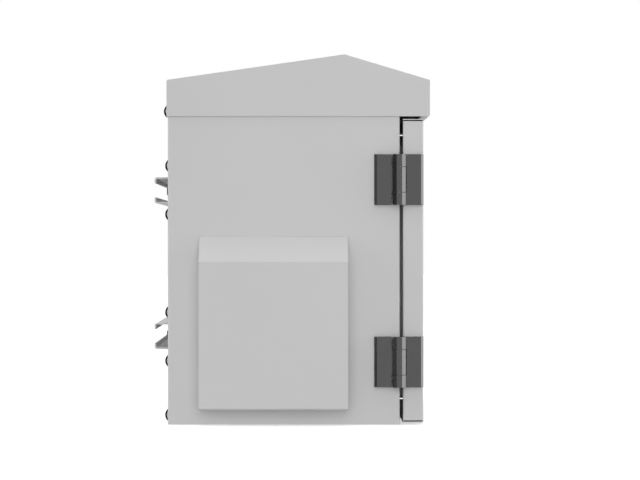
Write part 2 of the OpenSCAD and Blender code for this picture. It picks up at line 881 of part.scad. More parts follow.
module hood_shell() {
    face = side_x + hood_d - sheet_t / 2;
    low = hood_z + sheet_t / 2;
    path = [
        [side_x - over, hood_mid(side_x - over)],
        [face, hood_mid(face)],
        [face, low],
        [side_x, low],
    ];
    side_y = hood_y - hood_w / 2;
    drain_l = hood_d - sheet_t - 2 * drain_edge;
    drain_count = floor((hood_w - 2 * sheet_t - 2 * drain_edge) / drain_pitch);
    difference() {
        union() {
            lay_y(side_y, hood_w)
                fold_sheet(path, hood_w);
            for (y = [side_y, side_y + hood_w - sheet_t])
                lay_y(y, sheet_t)
                    linear_extrude(height = sheet_t)
                        polygon(end_outline(path, fold_r + sheet_t / 2));
            for (s = [-1, 1])
                translate([side_x, hood_y + s * hood_stud_y - hood_flange_w / 2, hood_z + sheet_t])
                    cube([sheet_t, hood_flange_w, hood_fold - hood_z]);
        }
        translate([inner_x - over, side_y - over, hood_z])
            cube([sheet_t + over, hood_w + 2 * over, hood_h + over]);
        translate([side_x + hood_d / 2, hood_y, hood_z - over])
            for (i = [0 : drain_count - 1])
                translate([0, (i - (drain_count - 1) / 2) * drain_pitch, 0])
                    linear_extrude(height = sheet_t + 2 * over)
                        slot_shape(drain_l, drain_slot_w);
    }
    for (s = [-1, 1], u = [-1, 1])
        bar_x([inner_x - hood_stud_l, hood_y + s * hood_stud_y, vent_z + u * hood_stud_z],
            small_screw_d / 2, hood_stud_l + 2 * sheet_t);
}

module vent_hood_left() {
    color(paint)
        mirror_x()
            hood_shell();
}

module vent_hood_right() {
    color(paint)
        hood_shell();
}

module small_nut() {
    difference() {
        cylinder(d = small_head_d, h = small_head_h, $fn = hexagon);
        translate([0, 0, -over])
            cylinder(d = small_screw_d + 2 * thread_clear, h = small_head_h + 2 * over);
    }
}

module hood_nuts() {
    color(zinc)
        for (m = [0, 1], s = [-1, 1], u = [-1, 1])
            mirror([m, 0, 0])
                translate([inner_x, hood_y + s * hood_stud_y, vent_z + u * hood_stud_z])
                    rotate([0, -90, 0])
                        small_nut();
}

// Air inlet behind the left hood, drawn flat and stood against the inside of the panel
module at_inlet() {
    translate([-inner_x, hood_y, vent_z])
        rotate([90, 0, 90])
            children();
}

module bar_field() {
    count = floor(filter_hold[0] / filter_bar_pitch);
    for (i = [0 : count - 1])
        translate([(i - (count - 1) / 2) * filter_bar_pitch, 0])
            square([filter_bar_w, filter_hold[1]], center = true);
}

module filter_ring(rim) {
    difference() {
        square([inlet_l + 2 * rim, inlet_h + 2 * rim], center = true);
        square(filter_hold, center = true);
    }
}

module at_filter_screws() {
    for (s = [-1, 1], u = [-1, 1])
        translate([s * filter_screw_y, u * filter_screw_z, 0])
            children();
}

module filter_frame() {
    color(dark)
        at_inlet()
            difference() {
                union() {
                    linear_extrude(height = filter_wall)
                        filter_ring(filter_frame_rim);
                    linear_extrude(height = filter_wall)
                        bar_field();
                    linear_extrude(height = filter_frame_d)
                        filter_ring(0);
                }
                at_filter_screws()
                    translate([0, 0, -over])
                        cylinder(r = small_hole_r, h = filter_wall + 2 * over);
            }
}

module filter_mat() {
    color(paint)
        at_inlet()
            translate([0, 0, filter_wall])
                linear_extrude(height = filter_mat_t)
                    square([filter_hold[0] - 2 * thread_clear, filter_hold[1] - 2 * thread_clear],
                        center = true);
}

module filter_cover() {
    color(dark)
        at_inlet()
            translate([0, 0, filter_frame_d])
                linear_extrude(height = filter_cover_t) {
                    filter_ring(filter_wall);
                    bar_field();
                }
}

module filter_screws() {
    color(zinc)
        at_inlet()
            at_filter_screws()
                translate([0, 0, -sheet_t]) {
                    translate([0, 0, -small_head_h])
                        cylinder(d = small_head_d, h = small_head_h);
                    cylinder(d = small_screw_d, h = filter_wall + sheet_t + small_head_h);
                    translate([0, 0, sheet_t + filter_wall])
                        cylinder(d = small_head_d, h = small_head_h, $fn = hexagon);
                }
}

// Fan behind the right hood, drawn upright and stood against the inside of the panel
fan_plate_z = fan_d - fan_plate_t;
fan_hub_r = fan_hub_d / 2;
fan_rotor_h = fan_plate_z - 2 * fan_end_clear;
fan_tip_r = fan_bore_d / 2 - fan_tip_clear;

module at_fan() {
    translate([inner_x, hood_y, vent_z])
        rotate([0, -90, 0])
            children();
}

module at_fan_corners() {
    for (s = [-1, 1], u = [-1, 1])
        translate([s * fan_pitch / 2, u * fan_pitch / 2, 0])
            children();
}

module fan_flange() {
    square([fan_w, fan_w - 2 * fan_corner_r], center = true);
    square([fan_w - 2 * fan_corner_r, fan_w], center = true);
    for (s = [-1, 1], u = [-1, 1])
        translate([s * (fan_w / 2 - fan_corner_r), u * (fan_w / 2 - fan_corner_r)])
            circle(r = fan_corner_r);
}

module fan_housing() {
    color(black)
        at_fan() {
            difference() {
                union() {
                    linear_extrude(height = fan_flange_t)
                        fan_flange();
                    translate([0, 0, fan_d - fan_flange_t])
                        linear_extrude(height = fan_flange_t)
                            fan_flange();
                    cylinder(d = fan_bore_d + 2 * fan_wall, h = fan_d);
                }
                translate([0, 0, -over])
                    cylinder(d = fan_bore_d, h = fan_d + 2 * over);
                at_fan_corners()
                    translate([0, 0, -over])
                        cylinder(r = small_hole_r, h = fan_d + 2 * over);
            }
            translate([0, 0, fan_plate_z])
                difference() {
                    union() {
                        cylinder(r = fan_hub_r, h = fan_plate_t);
                        for (a = [0 : 90 : 270])
                            rotate(a)
                                translate([0, -fan_strut_w / 2, 0])
                                    cube([fan_bore_d / 2 + fan_wall / 2, fan_strut_w, fan_plate_t]);
                    }
                    translate([0, 0, -over])
                        cylinder(d = fan_shaft_d + 2 * fan_shaft_clear, h = fan_plate_t + 2 * over);
                }
        }
}

module fan_blade() {
    swing = 62;
    intersection() {
        translate([0, 0, fan_end_clear + blade_t])
            difference() {
                cylinder(r = fan_tip_r, h = fan_rotor_h - 2 * blade_t);
                translate([0, 0, -over])
                    cylinder(r = fan_hub_r - blade_t, h = fan_rotor_h);
            }
        translate([0, -blade_curve_r / 2, fan_end_clear + fan_rotor_h])
            rotate([90, 0, 90])
                linear_extrude(height = fan_tip_r)
                    intersection() {
                        difference() {
                            circle(r = blade_curve_r);
                            circle(r = blade_curve_r - blade_t);
                        }
                        polygon([
                            [0, 0],
                            [2 * blade_curve_r, 0],
                            2 * blade_curve_r * [cos(swing), -sin(swing)],
                        ]);
                    }
    }
}

module fan_rotor() {
    blades = 7;
    color(black)
        at_fan() {
            translate([0, 0, fan_end_clear])
                cylinder(r = fan_hub_r, h = fan_rotor_h);
            cylinder(d = fan_shaft_d, h = fan_d);
            for (i = [0 : blades - 1])
                rotate(i * 360 / blades)
                    fan_blade();
        }
}

module wire_ring(r) {
    rotate_extrude()
        translate([r, 0])
            circle(d = guard_wire_d);
}

// Wire finger guard: rings on four spokes that end in eyes around the screws
module finger_guard() {
    eye_r = small_screw_d / 2 + screw_clear + guard_wire_d / 2;
    spoke_z = guard_wire_d / 2;
    ring_z = spoke_z + weld_share * guard_wire_d;
    reach = fan_pitch / sqrt(2) - eye_r;
    rings = floor((fan_bore_d / 2 - guard_wire_d) / guard_pitch);
    for (i = [1 : rings])
        translate([0, 0, ring_z])
            wire_ring(i * guard_pitch);
    for (a = [45 : 90 : 315])
        rotate(a)
            bar_x([guard_pitch, 0, spoke_z], guard_wire_d / 2, reach - guard_pitch);
    at_fan_corners()
        translate([0, 0, spoke_z])
            wire_ring(eye_r);
}

module fan_guard_outer() {
    color(zinc)
        at_fan()
            translate([0, 0, -sheet_t])
                mirror([0, 0, 1])
                    finger_guard();
}

module fan_guard_inner() {
    color(zinc)
        at_fan()
            translate([0, 0, fan_d])
                finger_guard();
}

module fan_screws() {
    color(zinc)
        at_fan()
            at_fan_corners()
                translate([0, 0, -sheet_t - guard_wire_d]) {
                    translate([0, 0, -small_head_h])
                        cylinder(d = small_head_d, h = small_head_h);
                    cylinder(d = small_screw_d, h = sheet_t + fan_d + 2 * guard_wire_d + small_head_h);
                }
}

module fan_nuts() {
    color(zinc)
        at_fan()
            at_fan_corners()
                translate([0, 0, fan_d + guard_wire_d])
                    small_nut();
}

// 19-inch rails with three square holes in each rack unit
module rack_rail() {
    path = [
        [rack_x, rack_t / 2],
        [rack_out_x - rack_t / 2, rack_t / 2],
        [rack_out_x - rack_t / 2, rack_side_w],
    ];
    difference() {
        translate([0, 0, rack_z])
            fold_sheet(path, rack_h, rack_t, fold_r);
        for (i = [0 : unit_count - 1], k = [-1 : 1])
            translate([
                rack_x + square_inset - square_hole / 2,
                -over,
                rack_z + rack_end + (i + 1 / 2) * unit_h + k * unit_hole_step - square_hole / 2,
            ])
                cube([square_hole, rack_t + 2 * over, square_hole]);
        for (z = support_zs)
            bar_x([rack_out_x - rack_t - over, rack_side_w / 2, z + support_h / 2],
                screw_hole_r, rack_t + 2 * over);
    }
}

module rack_rail_front() {
    translate([0, rack_front_y, 0])
        rack_rail();
}

module rack_rail_rear() {
    translate([0, rack_rear_y, 0])
        mirror([0, 1, 0])
            rack_rail();
}

module rack_rail_front_left() {
    color(zinc)
        mirror_x()
            rack_rail_front();
}

module rack_rail_front_right() {
    color(zinc)
        rack_rail_front();
}

module rack_rail_rear_left() {
    color(zinc)
        mirror_x()
            rack_rail_rear();
}

module rack_rail_rear_right() {
    color(zinc)
        rack_rail_rear();
}

// Trough welded inside a side panel, slotted so the rails can be set in depth
module rail_support(z, flip) {
    wall = inner_x - sheet_t / 2;
    rail = rack_out_x + sheet_t / 2;
    low = flip ? support_h - sheet_t / 2 : sheet_t / 2;
    high = flip ? 0 : support_h;
    slots = floor((support_l - support_slot_gap) / support_slot_step);
    translate([0, 0, z])
        difference() {
            lay_y(support_y, support_l)
                fold_sheet([[wall, high], [wall, low], [rail, low], [rail, high]], support_l);
            for (i = [0 : slots - 1])
                translate([rack_out_x - over, (i - (slots - 1) / 2) * support_slot_step, support_h / 2])
                    rotate([90, 0, 90])
                        linear_extrude(height = sheet_t + 2 * over)
                            slot_shape(support_slot_l, 2 * screw_hole_r);
            for (y = rack_bolt_ys)
                bar_x([rack_out_x - over, y, support_h / 2], screw_hole_r, sheet_t + 2 * over);
        }
}

module rail_support_upper_left() {
    color(zinc)
        mirror_x()
            rail_support(support_zs[1], true);
}

module rail_support_upper_right() {
    color(zinc)
        rail_support(support_zs[1], true);
}

module rail_support_lower_left() {
    color(zinc)
        mirror_x()
            rail_support(support_zs[0], false);
}

module rail_support_lower_right() {
    color(zinc)
        rail_support(support_zs[0], false);
}

module at_rack_bolts() {
    for (m = [0, 1], y = rack_bolt_ys, z = support_zs)
        mirror([m, 0, 0])
            translate([rack_out_x, y, z + support_h / 2])
                rotate([0, 90, 0])
                    children();
}

module rack_rail_bolts() {
    color(zinc)
        at_rack_bolts()
            translate([0, 0, -rack_t])
                hex_screw(rack_t + sheet_t + 2 * screw_head_h, screw_d, screw_head_d, screw_head_h);
}

module rack_rail_nuts() {
    color(zinc)
        at_rack_bolts()
            translate([0, 0, sheet_t])
                difference() {
                    cylinder(d = screw_head_d, h = screw_head_h, $fn = hexagon);
                    translate([0, 0, -over])
                        cylinder(d = screw_d + 2 * thread_clear, h = screw_head_h + 2 * over);
                }
}

// Cable entry in the floor: plate on a seal, with closed rubber grommets
module entry_outline() {
    square([entry_l + 2 * entry_lap, entry_w + 2 * entry_lap], center = true);
}

module entry_screw_holes() {
    for (p = gland_screws)
        translate(p)
            circle(r = small_hole_r);
}

module at_grommets() {
    for (i = [0 : grommet_count - 1])
        translate([(i - (grommet_count - 1) / 2) * grommet_pitch, 0])
            children();
}

module gland_plate() {
    color(zinc)
        translate([0, entry_y, sheet_t + gland_seal_t])
            linear_extrude(height = gland_plate_t)
                difference() {
                    entry_outline();
                    entry_screw_holes();
                    at_grommets()
                        circle(d = grommet_d);
                }
}

module gland_plate_seal() {
    color(black)
        translate([0, entry_y, sheet_t])
            linear_extrude(height = gland_seal_t)
                difference() {
                    entry_outline();
                    entry_screw_holes();
                    square([entry_l, entry_w], center = true);
                }
}

module cable_grommets() {
    neck = grommet_d / 2 - thread_clear;
    collar = grommet_d / 2 + grommet_collar;
    plate_low = sheet_t + gland_seal_t;
    cone_low = gland_top + grommet_collar_t;
    tip = grommet_tip_d / 2;
    color(black)
        translate([0, entry_y, 0])
            at_grommets()
                rotate_extrude()
                    polygon([
                        [neck - grommet_wall, plate_low - grommet_collar_t],
                        [collar, plate_low - grommet_collar_t],
                        [collar, plate_low - thread_clear],
                        [neck, plate_low - thread_clear],
                        [neck, gland_top + thread_clear],
                        [collar, gland_top + thread_clear],
                        [collar, cone_low],
                        [neck, cone_low],
                        [tip, cone_low + grommet_cone_h],
                        [0, cone_low + grommet_cone_h],
                        [0, cone_low + grommet_cone_h - grommet_wall],
                        [tip - grommet_wall, cone_low + grommet_cone_h - grommet_wall],
                        [neck - 2 * grommet_wall, cone_low - grommet_wall],
                    ]);
}

module gland_plate_screws() {
    color(zinc)
        for (p = gland_screws)
            translate([p[0], entry_y + p[1], 0]) {
                cylinder(d = small_screw_d, h = gland_top);
                translate([0, 0, gland_top])
                    difference() {
                        cylinder(d = small_head_d, h = small_head_h);
                        translate([0, 0, small_head_h - key_depth])
                            cylinder(d = small_screw_d, h = key_depth + over, $fn = hexagon);
                    }
            }
}

module earth_stud() {
    color(zinc)
        translate([-earth_x, -earth_front, 0]) {
            cylinder(d = cup_bolt_d, h = earth_h);
            translate([0, 0, sheet_t])
                cylinder(d = cup_head_d, h = earth_washer_t);
            translate([0, 0, sheet_t + earth_washer_t])
                cylinder(d = nut_w / cos(180 / hexagon), h = nut_h - earth_washer_t, $fn = hexagon);
        }
}

// Hinges: two leaves and a pin, with eight-sided knuckles
module knuckle(r_clear) {
    translate([axis_x, axis_y])
        difference() {
            rotate(180 / octagon)
                circle(r = barrel_r, $fn = octagon);
            circle(r = pin_r + r_clear);
        }
}

module leaf_profile(edge, inner) {
    turn = inner > edge ? 1 : -1;
    polygon([
        [-side_x, edge], [-side_x - leaf_edge_t, edge], [leaf_x, edge + turn * leaf_chamfer],
        [leaf_x, inner], [-side_x, inner],
    ]);
}

module knuckle_web(inner, near_x) {
    difference() {
        translate([leaf_x, min(inner, axis_y)])
            square([near_x - leaf_x, abs(inner - axis_y)]);
        translate([axis_x, axis_y])
            circle(r = (pin_r + barrel_w / 2) / 2);
    }
}

module hinge_body_leaf(z) {
    edge = door_y + hinge_w;
    inner = axis_y + leaf_gap;
    color(dark)
        translate([0, 0, z])
            difference() {
                union() {
                    translate([0, 0, -hinge_h / 2])
                        linear_extrude(height = hinge_h)
                            leaf_profile(edge, inner);
                    translate([0, 0, -knuckle_h])
                        linear_extrude(height = 2 * knuckle_h) {
                            knuckle(pin_fix_clear);
                            knuckle_web(inner, -side_x);
                        }
                }
                for (u = [-1, 1])
                    bar_x([-side_x - leaf_t / 2, body_screw_y, u * hinge_screw_z],
                        screw_d / 2 + thread_clear, leaf_t);
            }
}

module hinge_door_leaf(z) {
    inner = axis_y - leaf_gap;
    near_x = axis_x + barrel_w / 2;
    h = knuckle_h - hinge_play;
    color(dark)
        translate([0, 0, z])
            difference() {
                union() {
                    translate([0, 0, -hinge_h / 2])
                        linear_extrude(height = hinge_h)
                            leaf_profile(door_y, inner);
                    for (low = [-hinge_h / 2, hinge_h / 2 - h])
                        translate([0, 0, low])
                            linear_extrude(height = h) {
                                knuckle(pin_run_clear);
                                knuckle_web(inner, near_x);
                            }
                }
                for (u = [-1, 1])
                    bar_x([-side_x - leaf_t / 2, door_screw_y, u * hinge_screw_z],
                        screw_d / 2 + thread_clear, leaf_t);
            }
}

module upper_hinge_body_leaf() {
    hinge_body_leaf(hinge_zs[1]);
}

module lower_hinge_body_leaf() {
    hinge_body_leaf(hinge_zs[0]);
}

module upper_hinge_door_leaf() {
    hinge_door_leaf(hinge_zs[1]);
}

module lower_hinge_door_leaf() {
    hinge_door_leaf(hinge_zs[0]);
}

module hinge_pins() {
    color(zinc)
        for (z = hinge_zs)
            translate([axis_x, axis_y, z - hinge_h / 2])
                rotate_extrude()
                    polygon([
                        [0, 0], [pin_r - pin_chamfer, 0], [pin_r, pin_chamfer],
                        [pin_r, hinge_h - pin_chamfer], [pin_r - pin_chamfer, hinge_h], [0, hinge_h],
                    ]);
}

module hinge_screws(y) {
    color(zinc)
        for (z = hinge_zs, u = [-1, 1])
            translate([-inner_x, y, z + u * hinge_screw_z])
                rotate([0, -90, 0])
                    hex_screw(sheet_t + leaf_t / 2, screw_d, screw_head_d, screw_head_h);
}

module body_hinge_screws() {
    hinge_screws(body_screw_y);
}

module door_hinge_screws() {
    hinge_screws(door_screw_y);
}

// Door: sides folded from the front in plan, top and bottom folded in section
module door_pan() {
    end = sheet_t + corner_slit;
    side = side_x - sheet_t / 2;
    face = door_y + sheet_t / 2;
    lip = door_rear_y - sheet_t / 2;
    lip_x = side_x - door_lip_w;
    plan = [[-lip_x, lip], [-side, lip], [-side, face], [side, face], [side, lip], [lip_x, lip]];
    color(paint)
        difference() {
            union() {
                translate([0, 0, door_lift + end])
                    fold_sheet(plan, door_top - door_lift - 2 * end);
                lay_x(body_w) {
                    fold_sheet([
                        [face, door_lift + end], [face, door_lift + sheet_t / 2],
                        [door_rear_y, door_lift + sheet_t / 2],
                    ], body_w);
                    fold_sheet([
                        [face, door_top - end], [face, door_top - sheet_t / 2],
                        [door_rear_y, door_top - sheet_t / 2],
                    ], body_w);
                }
            }
            for (z = hinge_zs) {
                bar_y([lock_x, door_y - over, z], lock_barrel_d / 2 + screw_clear, sheet_t + 2 * over);
                for (u = [-1, 1])
                    bar_x([-side_x - over, door_screw_y, z + u * hinge_screw_z],
                        screw_hole_r, sheet_t + 2 * over);
            }
        }
}

module door_gasket() {
    half = open_x + sheet_t / 2 + gasket_w / 2;
    low = open_low - sheet_t / 2 - gasket_w / 2;
    high = open_high + sheet_t / 2 + gasket_w / 2;
    depth = upstand_y - gasket_clear - door_in_y;
    color(black)
        difference() {
            translate([-half, door_in_y, low])
                cube([2 * half, depth, high - low]);
            translate([-half + gasket_w, door_in_y - over, low + gasket_w])
                cube([2 * (half - gasket_w), depth + 2 * over, high - low - 2 * gasket_w]);
        }
}

module door_stiffener() {
    half = open_x - gasket_w / 2 - stiffener_end_gap;
    z = (door_lift + door_top) / 2;
    crown = stiffener_w / 2 - sheet_t / 2;
    foot = crown + stiffener_foot_w;
    near = door_in_y + sheet_t / 2;
    far = door_in_y + stiffener_d - sheet_t / 2;
    path = [[near, -foot], [near, -crown], [far, -crown], [far, crown], [near, crown], [near, foot]];
    color(zinc)
        translate([0, 0, z])
            lay_x(2 * half)
                fold_sheet(path, 2 * half);
}

// Quarter-turn locks, drawn with the cam upright so the door is free to open
module at_lock(z) {
    translate([lock_x, door_y, z])
        rotate([-90, 0, 0])
            children();
}

module lock_housing(z) {
    bore = lock_rotor_d / 2 + lock_run_clear;
    rim = lock_flange_t / 3;
    color(black)
        at_lock(z)
            rotate_extrude()
                polygon([
                    [bore, -lock_flange_t], [lock_flange_d / 2 - rim, -lock_flange_t],
                    [lock_flange_d / 2, -lock_flange_t + rim], [lock_flange_d / 2, 0],
                    [lock_barrel_d / 2, 0], [lock_barrel_d / 2, sheet_t + lock_barrel_l],
                    [bore, sheet_t + lock_barrel_l],
                ]);
}

module lock_rotor(z) {
    round_l = lock_flange_t + sheet_t + lock_barrel_l;
    square_l = cam_y + cam_t - lock_barrel_end;
    color(zinc)
        at_lock(z)
            translate([0, 0, -lock_flange_t]) {
                difference() {
                    cylinder(d = lock_rotor_d, h = round_l);
                    translate([0, 0, -over])
                        cylinder(d = lock_key_d, h = lock_key_depth + over);
                }
                cylinder(d = lock_post_d, h = lock_key_depth);
                translate([-lock_key_d / 2, -lock_wing_t / 2, 0])
                    cube([lock_key_d, lock_wing_t, lock_key_depth]);
                translate([-lock_square / 2, -lock_square / 2, round_l])
                    cube([lock_square, lock_square, square_l]);
                translate([0, 0, round_l + square_l])
                    cylinder(d = lock_rotor_d, h = screw_head_h, $fn = hexagon);
            }
}

module lock_cam(z) {
    hole = lock_square + 2 * thread_clear;
    color(zinc)
        translate([lock_x, cam_y, z])
            rotate([-90, 0, 0])
                linear_extrude(height = cam_t)
                    difference() {
                        union() {
                            circle(d = cam_w);
                            translate([-cam_w / 2, 0])
                                square([cam_w, cam_reach - cam_w / 2]);
                            translate([0, cam_reach - cam_w / 2])
                                circle(d = cam_w);
                        }
                        square(hole, center = true);
                    }
}

module upper_lock_housing() {
    lock_housing(hinge_zs[1]);
}

module lower_lock_housing() {
    lock_housing(hinge_zs[0]);
}

module upper_lock_rotor() {
    lock_rotor(hinge_zs[1]);
}

module lower_lock_rotor() {
    lock_rotor(hinge_zs[0]);
}

module upper_lock_cam() {
    lock_cam(hinge_zs[1]);
}

module lower_lock_cam() {
    lock_cam(hinge_zs[0]);
}

module lock_nuts() {
    color(zinc)
        for (z = hinge_zs)
            at_lock(z)
                translate([0, 0, sheet_t])
                    difference() {
                        cylinder(d = lock_nut_w / cos(180 / hexagon), h = lock_nut_t, $fn = hexagon);
                        translate([0, 0, -over])
                            cylinder(d = lock_barrel_d + 2 * thread_clear, h = lock_nut_t + 2 * over);
                    }
}

side_panel_left();
side_panel_right();
rear_panel();
top_panel();
floor_panel();
roof();
roof_rib_left();
roof_rib_right();
roof_rib_bolts();
cup_head_bolts();
flange_nuts();
upper_pole_rail();
lower_pole_rail();
pole_rail_bolts();
vent_hood_left();
vent_hood_right();
hood_nuts();
filter_frame();
filter_mat();
filter_cover();
filter_screws();
fan_housing();
fan_guard_outer();
fan_guard_inner();
fan_screws();
fan_nuts();
fan_rotor();
rack_rail_front_left();
rack_rail_front_right();
rack_rail_rear_left();
rack_rail_rear_right();
rail_support_upper_left();
rail_support_upper_right();
rail_support_lower_left();
rail_support_lower_right();
rack_rail_bolts();
rack_rail_nuts();
gland_plate();
gland_plate_seal();
cable_grommets();
gland_plate_screws();
earth_stud();
upper_hinge_body_leaf();
lower_hinge_body_leaf();
hinge_pins();
body_hinge_screws();
door_pan();
door_gasket();
door_stiffener();
upper_hinge_door_leaf();
lower_hinge_door_leaf();
door_hinge_screws();
upper_lock_housing();
lower_lock_housing();
lock_nuts();
upper_lock_rotor();
upper_lock_cam();
lower_lock_rotor();
lower_lock_cam();
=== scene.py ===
import math

import bpy
from mathutils import Matrix, Vector


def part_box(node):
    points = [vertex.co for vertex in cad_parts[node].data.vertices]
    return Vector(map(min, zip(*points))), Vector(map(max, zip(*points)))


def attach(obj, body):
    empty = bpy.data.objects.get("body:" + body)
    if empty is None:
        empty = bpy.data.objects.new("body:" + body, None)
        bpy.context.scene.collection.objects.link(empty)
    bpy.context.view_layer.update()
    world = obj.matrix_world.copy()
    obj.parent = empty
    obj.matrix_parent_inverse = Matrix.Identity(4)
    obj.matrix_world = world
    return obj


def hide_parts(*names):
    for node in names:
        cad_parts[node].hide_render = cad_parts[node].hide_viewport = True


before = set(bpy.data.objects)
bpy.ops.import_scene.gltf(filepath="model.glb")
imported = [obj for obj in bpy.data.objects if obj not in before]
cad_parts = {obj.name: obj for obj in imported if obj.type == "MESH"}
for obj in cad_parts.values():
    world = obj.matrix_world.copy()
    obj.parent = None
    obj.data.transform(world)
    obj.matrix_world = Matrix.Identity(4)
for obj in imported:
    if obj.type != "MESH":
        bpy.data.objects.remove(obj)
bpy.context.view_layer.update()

bl_info = {
    "name": "Outdoor rack cabinet",
    "version": (1, 0, 0),
    "blender": (4, 5, 0),
    "location": "View3D > Sidebar > Cabinet",
    "description": "Finishes, fasteners, seal, filter mat and a plain stage for an outdoor rack cabinet",
    "category": "Object",
}


def linear(hex_code):
    """An sRGB hex colour as the linear RGBA that shaders take."""
    channels = [int(hex_code[i : i + 2], 16) / 255 for i in (1, 3, 5)]
    return tuple(c / 12.92 if c <= 0.04045 else ((c + 0.055) / 1.055) ** 2.4 for c in channels) + (1.0,)


# Groups of like sheets, rails and fasteners

PAINTED_SHEETS = (
    "side_panel_left", "side_panel_right", "rear_panel", "top_panel", "floor_panel",
    "roof", "roof_rib_left", "roof_rib_right", "vent_hood_left", "vent_hood_right", "door_pan",
    "upper_pole_rail", "lower_pole_rail",
)
HINGE_LEAVES = (
    "upper_hinge_body_leaf", "lower_hinge_body_leaf", "upper_hinge_door_leaf", "lower_hinge_door_leaf",
)
ZINC_SHEETS = (
    "rack_rail_front_left", "rack_rail_front_right", "rack_rail_rear_left", "rack_rail_rear_right",
    "rail_support_upper_left", "rail_support_upper_right",
    "rail_support_lower_left", "rail_support_lower_right",
    "gland_plate", "door_stiffener",
)


# Shares of the fasteners' sizes

LEAD_SHARE = 0.06  # chamfer of a bore, of its diameter
BORE_SHARE = 1.02  # bore of a nut, of its thread
FLANGE_NUT_SHARE = 1.85  # corners of a flange nut, of its thread
EARTH_NUT_SHARE = 1.876  # corners of the earth nut, of its thread
EARTH_SHARES = (0.058, 0.0615, 0.246)  # floor sheet, washer and nut, of the earth stud's height


# Finishes and stage

NOISE_SPAN = (0.3, 0.7)
FLOOR_SIZE, FLOOR_DROP, FLOOR_LIFT = 36, -0.0005, 0.45
# Upright cards that only gloss mirrors: name, place, size and brightness
CARDS = (
    ("card at the back", (12.2, 4.2, 1.4), (24, 12), 0.01),
    ("card by the hinges", (-0.552, 0.3, 0.3), (0.5, 1.2), 0.08),
    ("card at the front", (0.45, -4.2, 0.6), (3.2, 2.6), 3.6),
)
ROOM_LEVEL, BOX_LEVEL, REAR_SHARE = 0.43, 2.75, 1.15
BOX_RISE, BOX_EDGE = 0.15, (0.84, 0.96)
LAMP_PLACE, LAMP_AIM, LAMP_SIZE, LAMP_WATTS = (-0.4, 0.2, 4.2), (0, 0, 0.25), 2.6, 60
CAMERA_PLACE, LENS_MM, SENSOR_MM, LENS_SHIFT = (-4.5, -0.0206, 0.2886), 151, 36, 0.036


# User settings


class CabinetColours(bpy.types.PropertyGroup):
    """Colours of the cabinet's finishes."""

    paint: bpy.props.FloatVectorProperty(
        name="Paint", description="Powder coat on the sheet metal", subtype="COLOR", size=4,
        min=0, max=1, default=linear("#C1C1C1"))
    hinge: bpy.props.FloatVectorProperty(
        name="Hinges", description="Dark nickel plating of the hinges", subtype="COLOR", size=4,
        min=0, max=1, default=linear("#595959"))
    bolt: bpy.props.FloatVectorProperty(
        name="Dome bolts", description="Polished stainless steel of the dome bolts", subtype="COLOR", size=4,
        min=0, max=1, default=linear("#DAD9D6"))
    zinc: bpy.props.FloatVectorProperty(
        name="Zinc", description="Zinc plating of rails, brackets and small fasteners", subtype="COLOR",
        size=4, min=0, max=1, default=linear("#A9ADB0"))
    plastic: bpy.props.FloatVectorProperty(
        name="Plastic", description="Moulded plastic of the fan and the filter holder", subtype="COLOR",
        size=4, min=0, max=1, default=linear("#242527"))
    rubber: bpy.props.FloatVectorProperty(
        name="Rubber", description="Rubber of the grommets and the plate seal", subtype="COLOR", size=4,
        min=0, max=1, default=linear("#1C1C1D"))
    foam: bpy.props.FloatVectorProperty(
        name="Foam", description="Foam of the door seal", subtype="COLOR", size=4,
        min=0, max=1, default=linear("#2E2E30"))
    fleece: bpy.props.FloatVectorProperty(
        name="Fleece", description="Fibre of the filter mat", subtype="COLOR", size=4,
        min=0, max=1, default=linear("#DDDDD7"))
    lock: bpy.props.FloatVectorProperty(
        name="Locks", description="Black coating of the lock housings", subtype="COLOR", size=4,
        min=0, max=1, default=linear("#26272A"))
    floor: bpy.props.FloatVectorProperty(
        name="Floor", description="Plain pale floor", subtype="COLOR", size=4,
        min=0, max=1, default=linear("#E8E8E8"))


